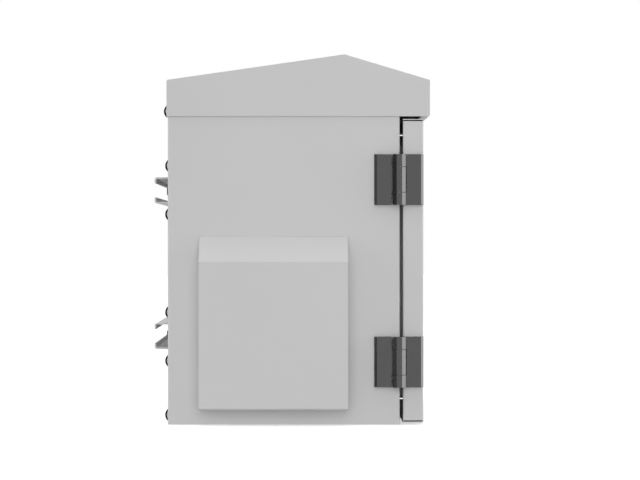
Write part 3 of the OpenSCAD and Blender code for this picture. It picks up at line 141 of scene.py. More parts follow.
class CabinetSizes(bpy.types.PropertyGroup):
    """Sizes of the modelled pieces and of the finishes' patterns."""

    coat_grain: bpy.props.FloatProperty(
        name="Coat grain", description="Width of the orange peel in the powder coat",
        default=0.003, min=0.0005, max=0.02, precision=4, unit="LENGTH", subtype="DISTANCE")
    spangle: bpy.props.FloatProperty(
        name="Spangle", description="Width of the zinc crystals on galvanised sheet",
        default=0.009, min=0.001, max=0.05, precision=4, unit="LENGTH", subtype="DISTANCE")
    edge_round: bpy.props.FloatProperty(
        name="Edge rounding", description="Radius of broken edges, as the shading shows it",
        default=0.0007, min=0, max=0.005, precision=4, unit="LENGTH", subtype="DISTANCE")
    bolt_head: bpy.props.FloatProperty(
        name="Dome height", description="Height of the dome bolts' heads",
        default=0.005, min=0.003, max=0.008, precision=4, unit="LENGTH", subtype="DISTANCE")
    bolt_thread: bpy.props.FloatProperty(
        name="Bolt thread", description="Thread diameter of the dome bolts",
        default=0.008, min=0.005, max=0.01, precision=4, unit="LENGTH", subtype="DISTANCE")
    screw_head: bpy.props.FloatProperty(
        name="Screw head", description="Height of the rail and hinge screws' heads",
        default=0.004, min=0.002, max=0.008, precision=4, unit="LENGTH", subtype="DISTANCE")
    screw_thread: bpy.props.FloatProperty(
        name="Screw thread", description="Thread diameter of the rail and hinge screws",
        default=0.006, min=0.004, max=0.008, precision=4, unit="LENGTH", subtype="DISTANCE")
    small_head: bpy.props.FloatProperty(
        name="Small head", description="Height of the vent and plate screws' heads",
        default=0.0026, min=0.001, max=0.004, precision=4, unit="LENGTH", subtype="DISTANCE")
    small_thread: bpy.props.FloatProperty(
        name="Small thread", description="Thread diameter of the vent and plate screws",
        default=0.004, min=0.003, max=0.006, precision=4, unit="LENGTH", subtype="DISTANCE")
    seal_width: bpy.props.FloatProperty(
        name="Seal width", description="Width of the foam bead round the door",
        default=0.012, min=0.008, max=0.02, precision=4, unit="LENGTH", subtype="DISTANCE")
    seal_corner: bpy.props.FloatProperty(
        name="Seal corner", description="Outer radius of the foam bead's corners",
        default=0.02, min=0.013, max=0.05, precision=4, unit="LENGTH", subtype="DISTANCE")
    mat_fluff: bpy.props.FloatProperty(
        name="Mat fluff", description="Depth of the hollows in the filter mat",
        default=0.0016, min=0, max=0.004, precision=4, unit="LENGTH", subtype="DISTANCE")


# Nodes and materials


def add_node(tree, kind, inputs=None, **settings):
    """Adds a node with its settings, and fills or links its inputs by name or number."""
    node = tree.nodes.new(kind)
    for name, value in settings.items():
        setattr(node, name, value)
    for name, value in (inputs or {}).items():
        if isinstance(value, bpy.types.NodeSocket):
            tree.links.new(value, node.inputs[name])
        else:
            node.inputs[name].default_value = value
    return node


def start_material(name, values):
    """A material whose shader holds the constant values, and the Object coordinates its patterns read."""
    material = bpy.data.materials.new(name)
    material.use_nodes = True
    tree = material.node_tree
    tree.nodes.clear()
    shader = add_node(tree, "ShaderNodeBsdfPrincipled", values)
    add_node(tree, "ShaderNodeOutputMaterial", {"Surface": shader.outputs["BSDF"]})
    place = add_node(tree, "ShaderNodeTexCoord").outputs["Object"]
    return material, tree, shader, place


def tint(colour, share):
    """A colour made lighter or darker by a share."""
    return tuple(min(c * share, 1.0) for c in colour[:3]) + (1.0,)


def noise(tree, vector, width, detail, distortion=0.0):
    """A noise whose patches are about as wide as given, in metres."""
    return add_node(tree, "ShaderNodeTexNoise",
        {"Vector": vector, "Scale": 1 / width, "Detail": detail, "Distortion": distortion})


def blend(tree, pattern, colour, dark, light):
    """A colour that a pattern takes from a darker to a lighter share of itself."""
    return add_node(tree, "ShaderNodeMix",
        {0: pattern.outputs[0], 6: tint(colour, dark), 7: tint(colour, light)}, data_type="RGBA")


def spread(tree, pattern, low, high):
    """Spreads a noise, most of which lies in NOISE_SPAN, over a range."""
    return add_node(tree, "ShaderNodeMapRange", {"Value": pattern.outputs[0],
        "From Min": NOISE_SPAN[0], "From Max": NOISE_SPAN[1], "To Min": low, "To Max": high})


def relief(tree, pattern, strength, depth, soft=None):
    """A bump from a pattern, over softened edges where they are given."""
    inputs = {"Height": pattern.outputs[0], "Strength": strength, "Distance": depth}
    if soft is not None:
        inputs["Normal"] = soft.outputs[0]
    return add_node(tree, "ShaderNodeBump", inputs)


def wire(tree, shader, tone, gloss, bump):
    """Links a finish's colour, roughness and bump to its shader."""
    tree.links.new(tone.outputs[2], shader.inputs["Base Color"])
    tree.links.new(gloss.outputs[0], shader.inputs["Roughness"])
    tree.links.new(bump.outputs[0], shader.inputs["Normal"])


def seen_rays(tree):
    """One for the rays that show the stage: the camera's, and what gloss and glass pass on."""
    rays = add_node(tree, "ShaderNodeLightPath")
    seen = add_node(tree, "ShaderNodeMath",
        {0: rays.outputs["Is Camera Ray"], 1: rays.outputs["Is Glossy Ray"]}, operation="MAXIMUM")
    return add_node(tree, "ShaderNodeMath",
        {0: seen.outputs[0], 1: rays.outputs["Is Transmission Ray"]}, operation="MAXIMUM")


def powder_coat(name, colour, grain, edge):
    """Polyester powder coat."""
    # Baked on steel sheet, it is an even satin skin with a fine orange peel, a little cloudy in tone and
    # gloss, and soft along each folded edge. The peel is drawn about twice as wide as the real 1.5 mm,
    # so that it shows.
    material, tree, shader, place = start_material(name, {"IOR": 1.5})
    cloud = noise(tree, place, width=0.22, detail=4.0)
    tone = blend(tree, cloud, colour, dark=0.97, light=1.03)
    haze = noise(tree, place, width=0.035, detail=5.0)
    gloss = spread(tree, haze, low=0.4, high=0.5)
    peel = noise(tree, place, width=grain, detail=2.0)
    soft = add_node(tree, "ShaderNodeBevel", {"Radius": edge}, samples=6)
    bump = relief(tree, peel, strength=0.35, depth=0.0002, soft=soft)
    wire(tree, shader, tone, gloss, bump)
    return material


def plated_zinc_casting(name, colour, edge):
    """Zinc die casting, plated with dark nickel."""
    # Vibrated smooth and plated, it mirrors softly: one even dark tone on each flat and a sharp change at
    # each bevel. A faint grain from the mould and a drift in gloss keep the flats alive.
    material, tree, shader, place = start_material(name, {"Metallic": 1.0})
    drift = noise(tree, place, width=0.018, detail=4.0)
    tone = blend(tree, drift, colour, dark=0.95, light=1.05)
    gloss = spread(tree, drift, low=0.24, high=0.29)
    grain = noise(tree, place, width=0.0012, detail=2.0)
    soft = add_node(tree, "ShaderNodeBevel", {"Radius": edge}, samples=6)
    bump = relief(tree, grain, strength=0.15, depth=0.00005, soft=soft)
    wire(tree, shader, tone, gloss, bump)
    return material


def polished_stainless(name, colour):
    """Polished stainless steel."""
    # Tumbled heads mirror the room almost sharply, with fine haze and hairlines left by the polishing.
    material, tree, shader, place = start_material(name, {"Metallic": 1.0})
    haze = noise(tree, place, width=0.006, detail=5.0)
    gloss = spread(tree, haze, low=0.1, high=0.2)
    tone = blend(tree, haze, colour, dark=0.94, light=1.03)
    stretch = add_node(tree, "ShaderNodeMapping", {"Vector": place, "Scale": (1.0, 1.0, 14.0)})
    hairs = noise(tree, stretch.outputs[0], width=0.004, detail=3.0)
    bump = relief(tree, hairs, strength=0.08, depth=0.00004)
    wire(tree, shader, tone, gloss, bump)
    return material


def galvanised_sheet(name, colour, spangle, edge):
    """Hot-dip galvanised steel sheet."""
    # The zinc froze in flat crystals, so patches a few millimetres wide differ in tone and gloss.
    material, tree, shader, place = start_material(name, {"Metallic": 1.0})
    crystals = add_node(tree, "ShaderNodeTexVoronoi",
        {"Vector": place, "Scale": 1 / spangle, "Randomness": 1.0})
    split = add_node(tree, "ShaderNodeSeparateColor", {"Color": crystals.outputs["Color"]})
    tone = blend(tree, split, colour, dark=0.88, light=1.05)
    gloss = add_node(tree, "ShaderNodeMapRange", {"Value": split.outputs[1], "To Min": 0.3, "To Max": 0.46})
    grain = noise(tree, place, width=0.002, detail=3.0)
    soft = add_node(tree, "ShaderNodeBevel", {"Radius": edge}, samples=4)
    bump = relief(tree, grain, strength=0.15, depth=0.0001, soft=soft)
    wire(tree, shader, tone, gloss, bump)
    return material


def zinc_plating(name, colour):
    """Bright zinc plating on small steel fasteners."""
    # A thin passivated skin: bright, a little blue in places and duller where it was handled.
    material, tree, shader, place = start_material(name, {"Metallic": 1.0})
    film = noise(tree, place, width=0.007, detail=4.0)
    cool = (colour[0] * 0.86, colour[1] * 0.93, min(colour[2] * 1.04, 1.0), 1.0)
    tone = add_node(tree, "ShaderNodeMix",
        {0: film.outputs[0], 6: tint(colour, 1.02), 7: cool}, data_type="RGBA")
    gloss = spread(tree, film, low=0.2, high=0.38)
    grain = noise(tree, place, width=0.0006, detail=2.0)
    bump = relief(tree, grain, strength=0.12, depth=0.00004)
    wire(tree, shader, tone, gloss, bump)
    return material


def moulded_plastic(name, colour, edge):
    """Glass-filled PBT moulded in a spark-eroded tool."""
    # A matt, faintly pebbled skin with paler flow marks.
    material, tree, shader, place = start_material(name, {"IOR": 1.55})
    flow = noise(tree, place, width=0.03, detail=4.0, distortion=1.5)
    tone = blend(tree, flow, colour, dark=0.8, light=1.3)
    gloss = spread(tree, flow, low=0.5, high=0.62)
    pebble = noise(tree, place, width=0.0008, detail=2.0)
    soft = add_node(tree, "ShaderNodeBevel", {"Radius": edge}, samples=4)
    bump = relief(tree, pebble, strength=0.3, depth=0.0001, soft=soft)
    wire(tree, shader, tone, gloss, bump)
    return material


def moulded_rubber(name, colour):
    """Moulded EPDM rubber."""
    # Dull and dense, with a chalky bloom in soft patches.
    material, tree, shader, place = start_material(name, {"IOR": 1.52})
    bloom = noise(tree, place, width=0.012, detail=5.0)
    tone = blend(tree, bloom, colour, dark=0.8, light=1.6)
    gloss = spread(tree, bloom, low=0.62, high=0.82)
    skin = noise(tree, place, width=0.001, detail=3.0)
    bump = relief(tree, skin, strength=0.25, depth=0.0001)
    wire(tree, shader, tone, gloss, bump)
    return material


def foamed_bead(name, colour):
    """Polyurethane foam, laid as a bead."""
    # Its skin is matt and full of closed pores; they are drawn 1.2 mm wide, about three times the real ones,
    # and painted darker in their hollows and lighter on their rims, as shade and light.
    material, tree, shader, place = start_material(name, {"IOR": 1.45, "Sheen Weight": 0.15})
    pores = add_node(tree, "ShaderNodeTexVoronoi", {"Vector": place, "Scale": 1 / 0.0012, "Randomness": 1.0})
    depth = add_node(tree, "ShaderNodeMapRange", {"Value": pores.outputs["Distance"], "From Max": 0.6})
    # Painted shade and light: the colour darkens towards each pore's bottom, where the bump sinks it, and
    # lightens on the rims
    tone = blend(tree, depth, colour, dark=0.55, light=1.2)
    cloud = noise(tree, place, width=0.02, detail=3.0)
    gloss = add_node(tree, "ShaderNodeMapRange", {"Value": cloud.outputs[0], "To Min": 0.8, "To Max": 1.0})
    bump = relief(tree, depth, strength=0.5, depth=0.0002)
    wire(tree, shader, tone, gloss, bump)
    return material


def filter_fleece(name, colour):
    """Bonded polyester fleece."""
    # Loose fibres lie crosswise in a soft white mat; they are drawn 0.6 mm thick so that they show, and the
    # gaps between them are painted darker as shade.
    material, tree, shader, place = start_material(name,
        {"IOR": 1.45, "Sheen Weight": 0.4, "Sheen Roughness": 0.6})
    along = add_node(tree, "ShaderNodeMapping",
        {"Vector": place, "Rotation": (0.5, 0.0, 0.0), "Scale": (1.0, 1.0, 7.0)})
    over = add_node(tree, "ShaderNodeMapping",
        {"Vector": place, "Rotation": (-0.6, 0.0, 0.0), "Scale": (1.0, 7.0, 1.0)})
    first = noise(tree, along.outputs[0], width=0.0042, detail=3.0, distortion=0.8)
    second = noise(tree, over.outputs[0], width=0.0042, detail=3.0, distortion=0.8)
    fibres = add_node(tree, "ShaderNodeMath",
        {0: first.outputs[0], 1: second.outputs[0]}, operation="MAXIMUM")
    tone = add_node(tree, "ShaderNodeMapRange",
        {"Value": fibres.outputs[0], "From Min": 0.4, "From Max": 0.68})
    # Painted shade: the colour darkens between the fibres, where the bump sinks
    shade = blend(tree, tone, colour, dark=0.6, light=1.05)
    matt = add_node(tree, "ShaderNodeMapRange", {"Value": tone.outputs[0], "To Min": 1.0, "To Max": 0.85})
    bump = relief(tree, tone, strength=0.7, depth=0.0006)
    wire(tree, shader, shade, matt, bump)
    return material


def black_coating(name, colour, edge):
    """Black lacquer on a zinc die casting."""
    # Thin and semi-gloss, it keeps the casting's faint ripple, its tone a little lighter on the ripple's
    # crests and darker in its hollows, and its edges softened in the shading.
    material, tree, shader, place = start_material(name, {"IOR": 1.5})
    soft = add_node(tree, "ShaderNodeBevel", {"Radius": edge}, samples=6)
    ripple = noise(tree, place, width=0.004, detail=3.0)
    tone = blend(tree, ripple, colour, dark=0.75, light=1.35)
    gloss = spread(tree, ripple, low=0.28, high=0.42)
    bump = relief(tree, ripple, strength=0.2, depth=0.0001, soft=soft)
    wire(tree, shader, tone, gloss, bump)
    return material


def finish_of(name, make, *values):
    """The named material, made once."""
    return bpy.data.materials.get(name) or make(name, *values)


def dress(nodes, material):
    """Puts a material on CAD nodes."""
    for node in nodes:
        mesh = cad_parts[node].data
        mesh.materials.clear()
        mesh.materials.append(material)


def plated_material(scene):
    """The plating of the hinges and of the lock rotors."""
    return finish_of("dark nickel plated zinc", plated_zinc_casting,
        tuple(scene.cabinet_colours.hinge), scene.cabinet_sizes.edge_round)


def zinc_material(scene):
    """The plating of small fasteners, guards and cams."""
    return finish_of("bright zinc plating", zinc_plating, tuple(scene.cabinet_colours.zinc))


def stainless_material(scene):
    """The steel of the dome bolts and of the hinge pins."""
    return finish_of("polished stainless steel", polished_stainless, tuple(scene.cabinet_colours.bolt))


def plastic_material(scene):
    """The plastic of the fan and of the filter's holder."""
    return finish_of("moulded PBT", moulded_plastic,
        tuple(scene.cabinet_colours.plastic), scene.cabinet_sizes.edge_round)


# Modelling by hand


def solid_boxes(node):
    """Lowest and highest corner of each separate solid of a CAD node."""
    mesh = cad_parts[node].data
    spots = {}
    parent = []

    def root(i):
        while parent[i] != i:
            parent[i] = parent[parent[i]]
            i = parent[i]
        return i

    keys = []
    for vertex in mesh.vertices:
        key = tuple(round(c, 6) for c in vertex.co)
        if key not in spots:
            spots[key] = len(parent)
            parent.append(len(parent))
        keys.append(spots[key])
    for face in mesh.polygons:
        first = root(keys[face.vertices[0]])
        for corner in face.vertices[1:]:
            parent[root(keys[corner])] = first
    groups = {}
    for vertex, key in zip(mesh.vertices, keys):
        groups.setdefault(root(key), []).append(vertex.co)
    boxes = []
    for points in groups.values():
        low = Vector([min(p[i] for p in points) for i in range(3)])
        high = Vector([max(p[i] for p in points) for i in range(3)])
        boxes.append((low, high))
    return sorted(boxes, key=lambda box: tuple(box[0]))


def seats(node, way, head=0.0):
    """A matrix for each fastener of a node: +Z turned to its way in, the origin at its head's seat."""
    places = []
    for low, high in solid_boxes(node):
        middle = (low + high) / 2
        into = Vector(way(middle))
        reach = abs((high - low).dot(into)) / 2
        turn_in = Vector((0, 0, 1)).rotation_difference(into).to_matrix().to_4x4()
        places.append(Matrix.Translation(middle + into * (head - reach)) @ turn_in)
    return places


def size_along(node, axis):
    """Size of a node's first solid along an axis."""
    low, high = solid_boxes(node)[0]
    return (high - low)[axis]


def pick(piece, kind, test):
    """Selects a piece's vertices, edges or faces by place, and leaves it in edit mode."""
    bpy.ops.object.mode_set(mode="EDIT")
    bpy.ops.mesh.select_mode(type=kind)
    bpy.ops.mesh.select_all(action="DESELECT")
    bpy.ops.object.mode_set(mode="OBJECT")
    mesh = piece.data
    if kind == "VERT":
        for vertex in mesh.vertices:
            vertex.select = test(vertex.co)
    else:
        for item in mesh.edges if kind == "EDGE" else mesh.polygons:
            item.select = all(test(mesh.vertices[i].co) for i in item.vertices)
    bpy.ops.object.mode_set(mode="EDIT")


def close_up():
    """Merges doubles, turns the faces outwards and goes back to object mode."""
    bpy.ops.mesh.select_all(action="SELECT")
    bpy.ops.mesh.remove_doubles(threshold=1e-7)
    bpy.ops.mesh.normals_make_consistent(inside=False)
    bpy.ops.object.mode_set(mode="OBJECT")
    # A shallow dome can come out turned inwards, and then its volume is negative
    mesh = bpy.context.object.data
    mesh.calc_loop_triangles()
    corners = [[mesh.vertices[i].co for i in face.vertices] for face in mesh.loop_triangles]
    if sum(a.dot(b.cross(c)) for a, b, c in corners) < 0:
        mesh.flip_normals()


def only(piece):
    """Selects one piece and makes it active."""
    bpy.ops.object.select_all(action="DESELECT")
    piece.select_set(True)
    bpy.context.view_layer.objects.active = piece


def apply_place():
    """Bakes the selected pieces' place, turn and scale into their meshes."""
    bpy.ops.object.transform_apply(location=True, rotation=True, scale=True)


def lift(piece, height):
    """Moves a piece up +Z, mesh and all."""
    only(piece)
    piece.location.z = height
    apply_place()


def turn(name, profile, segments=32):
    """A turned solid about Z: a disc drawn out ring by ring along pairs of radius and height."""
    bpy.ops.object.select_all(action="DESELECT")
    radius, height = profile[0]
    bpy.ops.mesh.primitive_circle_add(
        vertices=segments, radius=radius, fill_type="NGON", location=(0, 0, height))
    piece = bpy.context.object
    piece.name = name
    apply_place()
    bpy.ops.object.mode_set(mode="EDIT")
    bpy.ops.mesh.select_all(action="SELECT")
    for next_radius, next_height in profile[1:]:
        grow = next_radius / radius
        bpy.ops.mesh.extrude_region_move(TRANSFORM_OT_translate={"value": (0, 0, next_height - height)})
        bpy.ops.transform.resize(value=(grow, grow, 1), center_override=(0, 0, next_height))
        radius, height = next_radius, next_height
    close_up()
    return piece


def combine(piece, other, operation):
    """Cuts, trims or joins a piece with another, which goes."""
    only(piece)
    bpy.ops.object.modifier_add(type="BOOLEAN")
    cut = piece.modifiers[-1]
    cut.operation = operation
    cut.solver = "EXACT"
    cut.object = other
    bpy.ops.object.modifier_apply(modifier=cut.name)
    bpy.data.objects.remove(other, do_unlink=True)
    return piece


def join(first, *others):
    """Joins pieces into the first one."""
    only(first)
    for other in others:
        other.select_set(True)
    bpy.ops.object.join()
    return first


def threaded_rod(name, diameter, length, steps=20):
    """A rod with a real screw thread from zero up +Z, chamfered at both ends."""
    # Pitch of a metric coarse thread, near enough from 4 to 8 mm, and the depth of its V
    pitch = 0.00015 + 0.1375 * diameter
    deep = 0.61 * pitch
    radius = diameter / 2
    turns = math.ceil(length / pitch) + 2
    bpy.ops.object.select_all(action="DESELECT")
    bpy.ops.mesh.primitive_circle_add(vertices=4, radius=1, rotation=(math.pi / 2, 0, 0))
    rod = bpy.context.object
    rod.name = name
    apply_place()
    pick(rod, "VERT", lambda p: p.x < -0.5)
    bpy.ops.mesh.delete(type="VERT")
    bpy.ops.mesh.select_all(action="SELECT")
    bpy.ops.transform.resize(value=(deep, 1, pitch / 2), center_override=(0, 0, 0))
    bpy.ops.transform.translate(value=(radius - deep, 0, -pitch))
    bpy.ops.object.mode_set(mode="OBJECT")
    bpy.ops.object.modifier_add(type="SCREW")
    helix = rod.modifiers[-1]
    helix.axis = "Z"
    helix.angle = math.tau
    helix.screw_offset = pitch
    helix.iterations = turns
    helix.steps = helix.render_steps = steps
    helix.use_merge_vertices = True
    helix.merge_threshold = 1e-6
    bpy.ops.object.modifier_apply(modifier=helix.name)
    bpy.ops.object.mode_set(mode="EDIT")
    bpy.ops.mesh.select_all(action="SELECT")
    bpy.ops.mesh.remove_doubles(threshold=1e-6)
    bpy.ops.mesh.fill_holes(sides=0)
    close_up()
    wide = radius * 1.05
    blank = turn("rod blank", [
        (radius - deep, 0), (wide, deep + wide - radius),
        (wide, length - deep - wide + radius), (radius - deep, length),
    ])
    return combine(rod, blank, "INTERSECT")


def drill(piece, bore, height):
    """Bores a piece along Z, with a chamfer at both ends."""
    radius, lead = bore / 2, bore * LEAD_SHARE
    bit = turn("bore", [
        (radius + 2 * lead, -lead), (radius, lead),
        (radius, height - lead), (radius + 2 * lead, height + lead),
    ], 24)
    return combine(piece, bit, "DIFFERENCE")


def hexagon(name, corners, height, bore=0.0):
    """A hexagon with turned corners on both faces, from zero up +Z, bored if asked."""
    flats = corners * math.cos(math.pi / 6)
    bpy.ops.object.select_all(action="DESELECT")
    bpy.ops.mesh.primitive_cylinder_add(
        vertices=6, radius=corners / 2, depth=height,
        location=(0, 0, height / 2), rotation=(0, 0, math.pi / 6))
    piece = bpy.context.object
    piece.name = name
    apply_place()
    face, wide = flats * 0.475, corners * 0.52
    drop = (wide - face) * math.tan(math.pi / 6)
    turning = turn("corner turning", [
        (face, 0), (wide, drop), (wide, height - drop), (face, height),
    ], 48)
    combine(piece, turning, "INTERSECT")
    if bore:
        drill(piece, bore, height)
    return piece


def socket_screw(name, head_d, head_h, thread_d, length):
    """A socket screw with its head below zero and its thread up +Z."""
    radius, edge = head_d / 2, head_h * 0.16
    head = turn(name, [
        (radius * 0.86, -head_h), (radius - edge * 0.3, -head_h + edge * 0.35), (radius, -head_h + edge),
        (radius, -edge * 0.4), (radius - edge * 0.4, 0),
    ], 40)
    depth = head_h * 0.55
    bpy.ops.object.select_all(action="DESELECT")
    bpy.ops.mesh.primitive_cylinder_add(
        vertices=6, radius=thread_d * 0.48, depth=2 * depth, location=(0, 0, -head_h))
    socket = bpy.context.object
    apply_place()
    combine(head, socket, "DIFFERENCE")
    return join(head, threaded_rod("thread", thread_d, length))


def set_out(model, name, places):
    """Copies a modelled fastener to each place, and joins the copies into one piece at the origin."""
    made = []
    for place in places:
        only(model)
        bpy.ops.object.duplicate(linked=False)
        copy = bpy.context.object
        copy.matrix_world = place
        made.append(copy)
    bpy.data.objects.remove(model, do_unlink=True)
    bpy.ops.object.select_all(action="DESELECT")
    for copy in made:
        copy.select_set(True)
    bpy.context.view_layer.objects.active = made[0]
    apply_place()
    bpy.ops.object.join()
    made[0].name = name
    return made[0]


def hand_over(piece, material, body, node, angle=30):
    """Smooths, coats and hangs a finished piece on its body in place of the CAD node."""
    only(piece)
    bpy.ops.object.shade_smooth_by_angle(angle=math.radians(angle))
    piece.data.name = piece.name
    piece.data.materials.clear()
    piece.data.materials.append(material)
    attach(piece, body)
    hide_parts(node)


# Operators


class CABINET_OT_coat_sheet_metal(bpy.types.Operator):
    """Coat the body, roof, hoods, door and rear channels"""

    bl_idname = "cabinet.coat_sheet_metal"
    bl_label = "Coat sheet metal"

    def execute(self, context):
        scene = context.scene
        coat = finish_of("powder coated steel", powder_coat, tuple(scene.cabinet_colours.paint),
            scene.cabinet_sizes.coat_grain, scene.cabinet_sizes.edge_round)
        dress(PAINTED_SHEETS, coat)
        return {"FINISHED"}


class CABINET_OT_finish_hinges(bpy.types.Operator):
    """Plate the hinge leaves and polish their pins"""

    bl_idname = "cabinet.finish_hinges"
    bl_label = "Finish hinges"

    def execute(self, context):
        scene = context.scene
        dress(HINGE_LEAVES, plated_material(scene))
        dress(("hinge_pins",), stainless_material(scene))
        return {"FINISHED"}


class CABINET_OT_finish_rack(bpy.types.Operator):
    """Galvanise the rack rails, their supports, the gland plate and the door stiffener"""

    bl_idname = "cabinet.finish_rack"
    bl_label = "Finish rack rails"

    def execute(self, context):
        scene = context.scene
        dress(ZINC_SHEETS, finish_of("galvanised steel sheet", galvanised_sheet,
            tuple(scene.cabinet_colours.zinc), scene.cabinet_sizes.spangle, scene.cabinet_sizes.edge_round))
        return {"FINISHED"}


class CABINET_OT_make_dome_bolts(bpy.types.Operator):
    """Model the dome bolts of the rear panel and of the roof's skirt"""

    bl_idname = "cabinet.make_dome_bolts"
    bl_label = "Make dome bolts"

    def execute(self, context):
        sizes = context.scene.cabinet_sizes
        node = "cup_head_bolts"
        radius, rise = size_along(node, 0) / 2, sizes.bolt_head
        ball = (radius * radius + rise * rise) / (2 * rise)
        rim = math.asin(radius / ball)
        arc = [rim * share for share in (0.985, 0.94, 0.86, 0.76, 0.65, 0.53, 0.41, 0.29, 0.18, 0.08, 0.02)]
        dome = [(radius * 0.955, 0), (radius * 0.99, -rise * 0.03)]
        dome += [(ball * math.sin(a), -(ball * math.cos(a) - ball + rise)) for a in arc]
        bolt = turn("dome bolt", dome, 48)
        bolt = join(bolt, threaded_rod("thread", sizes.bolt_thread, size_along(node, 1) - rise))
        piece = set_out(bolt, "dome_bolts", seats(node, lambda middle: (0, -1, 0), rise))
        hand_over(piece, stainless_material(context.scene), "cabinet", node, 40)
        return {"FINISHED"}


class CABINET_OT_make_flange_nuts(bpy.types.Operator):
    """Model the flange nuts on the dome bolts' inner ends"""

    bl_idname = "cabinet.make_flange_nuts"
    bl_label = "Make flange nuts"

    def execute(self, context):
        sizes = context.scene.cabinet_sizes
        node = "flange_nuts"
        radius, height = size_along(node, 0) / 2, size_along(node, 1)
        nut = hexagon("flange nut", sizes.bolt_thread * FLANGE_NUT_SHARE, height)
        skirt = turn("nut flange", [
            (radius * 0.96, 0), (radius, height * 0.04),
            (radius, height * 0.13), (radius * 0.72, height * 0.34),
        ], 40)
        combine(nut, skirt, "UNION")
        drill(nut, sizes.bolt_thread, height)
        piece = set_out(nut, "flange_nuts_forged", seats(node, lambda middle: (0, -1, 0)))
        hand_over(piece, zinc_material(context.scene), "cabinet", node)
        return {"FINISHED"}


class CABINET_OT_make_channel_bolts(bpy.types.Operator):
    """Model the hexagon bolts that hold the rear channels"""

    bl_idname = "cabinet.make_channel_bolts"
    bl_label = "Make channel bolts"

    def execute(self, context):
        sizes = context.scene.cabinet_sizes
        node = "pole_rail_bolts"
        head = sizes.bolt_head
        bolt = hexagon("channel bolt", max(size_along(node, 0), size_along(node, 2)), head)
        lift(bolt, -head)
        bolt = join(bolt, threaded_rod("thread", sizes.bolt_thread, size_along(node, 1) - head))
        piece = set_out(bolt, "channel_bolts", seats(node, lambda middle: (0, -1, 0), head))
        hand_over(piece, zinc_material(context.scene), "cabinet", node)
        return {"FINISHED"}


class CABINET_OT_make_socket_screws(bpy.types.Operator):
    """Model the socket screws of the rails, hinges, roof ribs, fan, filter and gland plate"""

    bl_idname = "cabinet.make_socket_screws"
    bl_label = "Make socket screws"

    def execute(self, context):
        scene = context.scene
        sizes = scene.cabinet_sizes
        large, small = (sizes.screw_head, sizes.screw_thread), (sizes.small_head, sizes.small_thread)
        groups = (
            ("rack_rail_bolts", "rack_rail_screws", "cabinet", 0, large,
                lambda m: (math.copysign(1, m.x), 0, 0)),
            ("roof_rib_bolts", "roof_rib_screws", "cabinet", 2, large, lambda m: (0, 0, 1)),
            ("body_hinge_screws", "hinge_screws_body", "cabinet", 0, large, lambda m: (-1, 0, 0)),
            ("door_hinge_screws", "hinge_screws_door", "door", 0, large, lambda m: (-1, 0, 0)),
            ("fan_screws", "fan_through_screws", "cabinet", 0, small, lambda m: (-1, 0, 0)),
            ("filter_screws", "filter_through_screws", "cabinet", 0, small, lambda m: (1, 0, 0)),
            ("gland_plate_screws", "gland_screws", "cabinet", 2, small, lambda m: (0, 0, -1)),
        )
        for node, name, body, axis, (head, thread), way in groups:
            wide = size_along(node, 1)
            length = size_along(node, axis) - head
            screw = socket_screw(name, wide, head, thread, length)
            if node == "filter_screws":
                nut = hexagon("nut", wide, head)
                lift(nut, length - head)
                screw = join(screw, nut)
            piece = set_out(screw, name, seats(node, way, head))
            hand_over(piece, zinc_material(scene), body, node)
        return {"FINISHED"}


class CABINET_OT_make_hexagon_nuts(bpy.types.Operator):
    """Model the nuts of the hoods, fan and rack rails, and plate the lock nuts and fan guards with zinc"""

    bl_idname = "cabinet.make_hexagon_nuts"
    bl_label = "Make hexagon nuts"

    def execute(self, context):
        scene = context.scene
        sizes = scene.cabinet_sizes
        groups = (
            ("hood_nuts", "hood_stud_nuts", sizes.small_thread),
            ("fan_nuts", "fan_screw_nuts", sizes.small_thread),
            ("rack_rail_nuts", "rack_screw_nuts", sizes.screw_thread),
        )
        for node, name, thread in groups:
            corners = max(size_along(node, 1), size_along(node, 2))
            nut = hexagon(name, corners, size_along(node, 0), thread * BORE_SHARE)
            piece = set_out(nut, name, seats(node, lambda m: (1, 0, 0)))
            hand_over(piece, zinc_material(scene), "cabinet", node)
        dress(("lock_nuts", "fan_guard_outer", "fan_guard_inner"), zinc_material(scene))
        return {"FINISHED"}


class CABINET_OT_make_earth_stud(bpy.types.Operator):
    """Model the earth stud with its washer and nut"""

    bl_idname = "cabinet.make_earth_stud"
    bl_label = "Make earth stud"

    def execute(self, context):
        scene = context.scene
        sizes = scene.cabinet_sizes
        node = "earth_stud"
        low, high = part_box(node)
        wide, tall = high.x - low.x, high.z - low.z
        sheet, washer, nut_h = (tall * share for share in EARTH_SHARES)
        stud = threaded_rod("earth stud", sizes.bolt_thread, tall)
        disc = turn("earth washer", [
            (wide * 0.49, sheet), (wide * 0.5, sheet + washer * 0.15),
            (wide * 0.5, sheet + washer * 0.8), (wide * 0.485, sheet + washer),
        ], 48)
        nut = hexagon("earth nut", sizes.bolt_thread * EARTH_NUT_SHARE, nut_h)
        lift(nut, sheet + washer)
        stud = join(stud, disc, nut)
        middle = (low + high) / 2
        piece = set_out(stud, "earth_stud_threaded", [Matrix.Translation((middle.x, middle.y, low.z))])
        hand_over(piece, zinc_material(scene), "cabinet", node)
        return {"FINISHED"}


class CABINET_OT_finish_fan(bpy.types.Operator):
    """Finish the fan's housing and its rotor"""

    bl_idname = "cabinet.finish_fan"
    bl_label = "Finish fan"

    def execute(self, context):
        dress(("fan_housing", "fan_rotor"), plastic_material(context.scene))
        return {"FINISHED"}


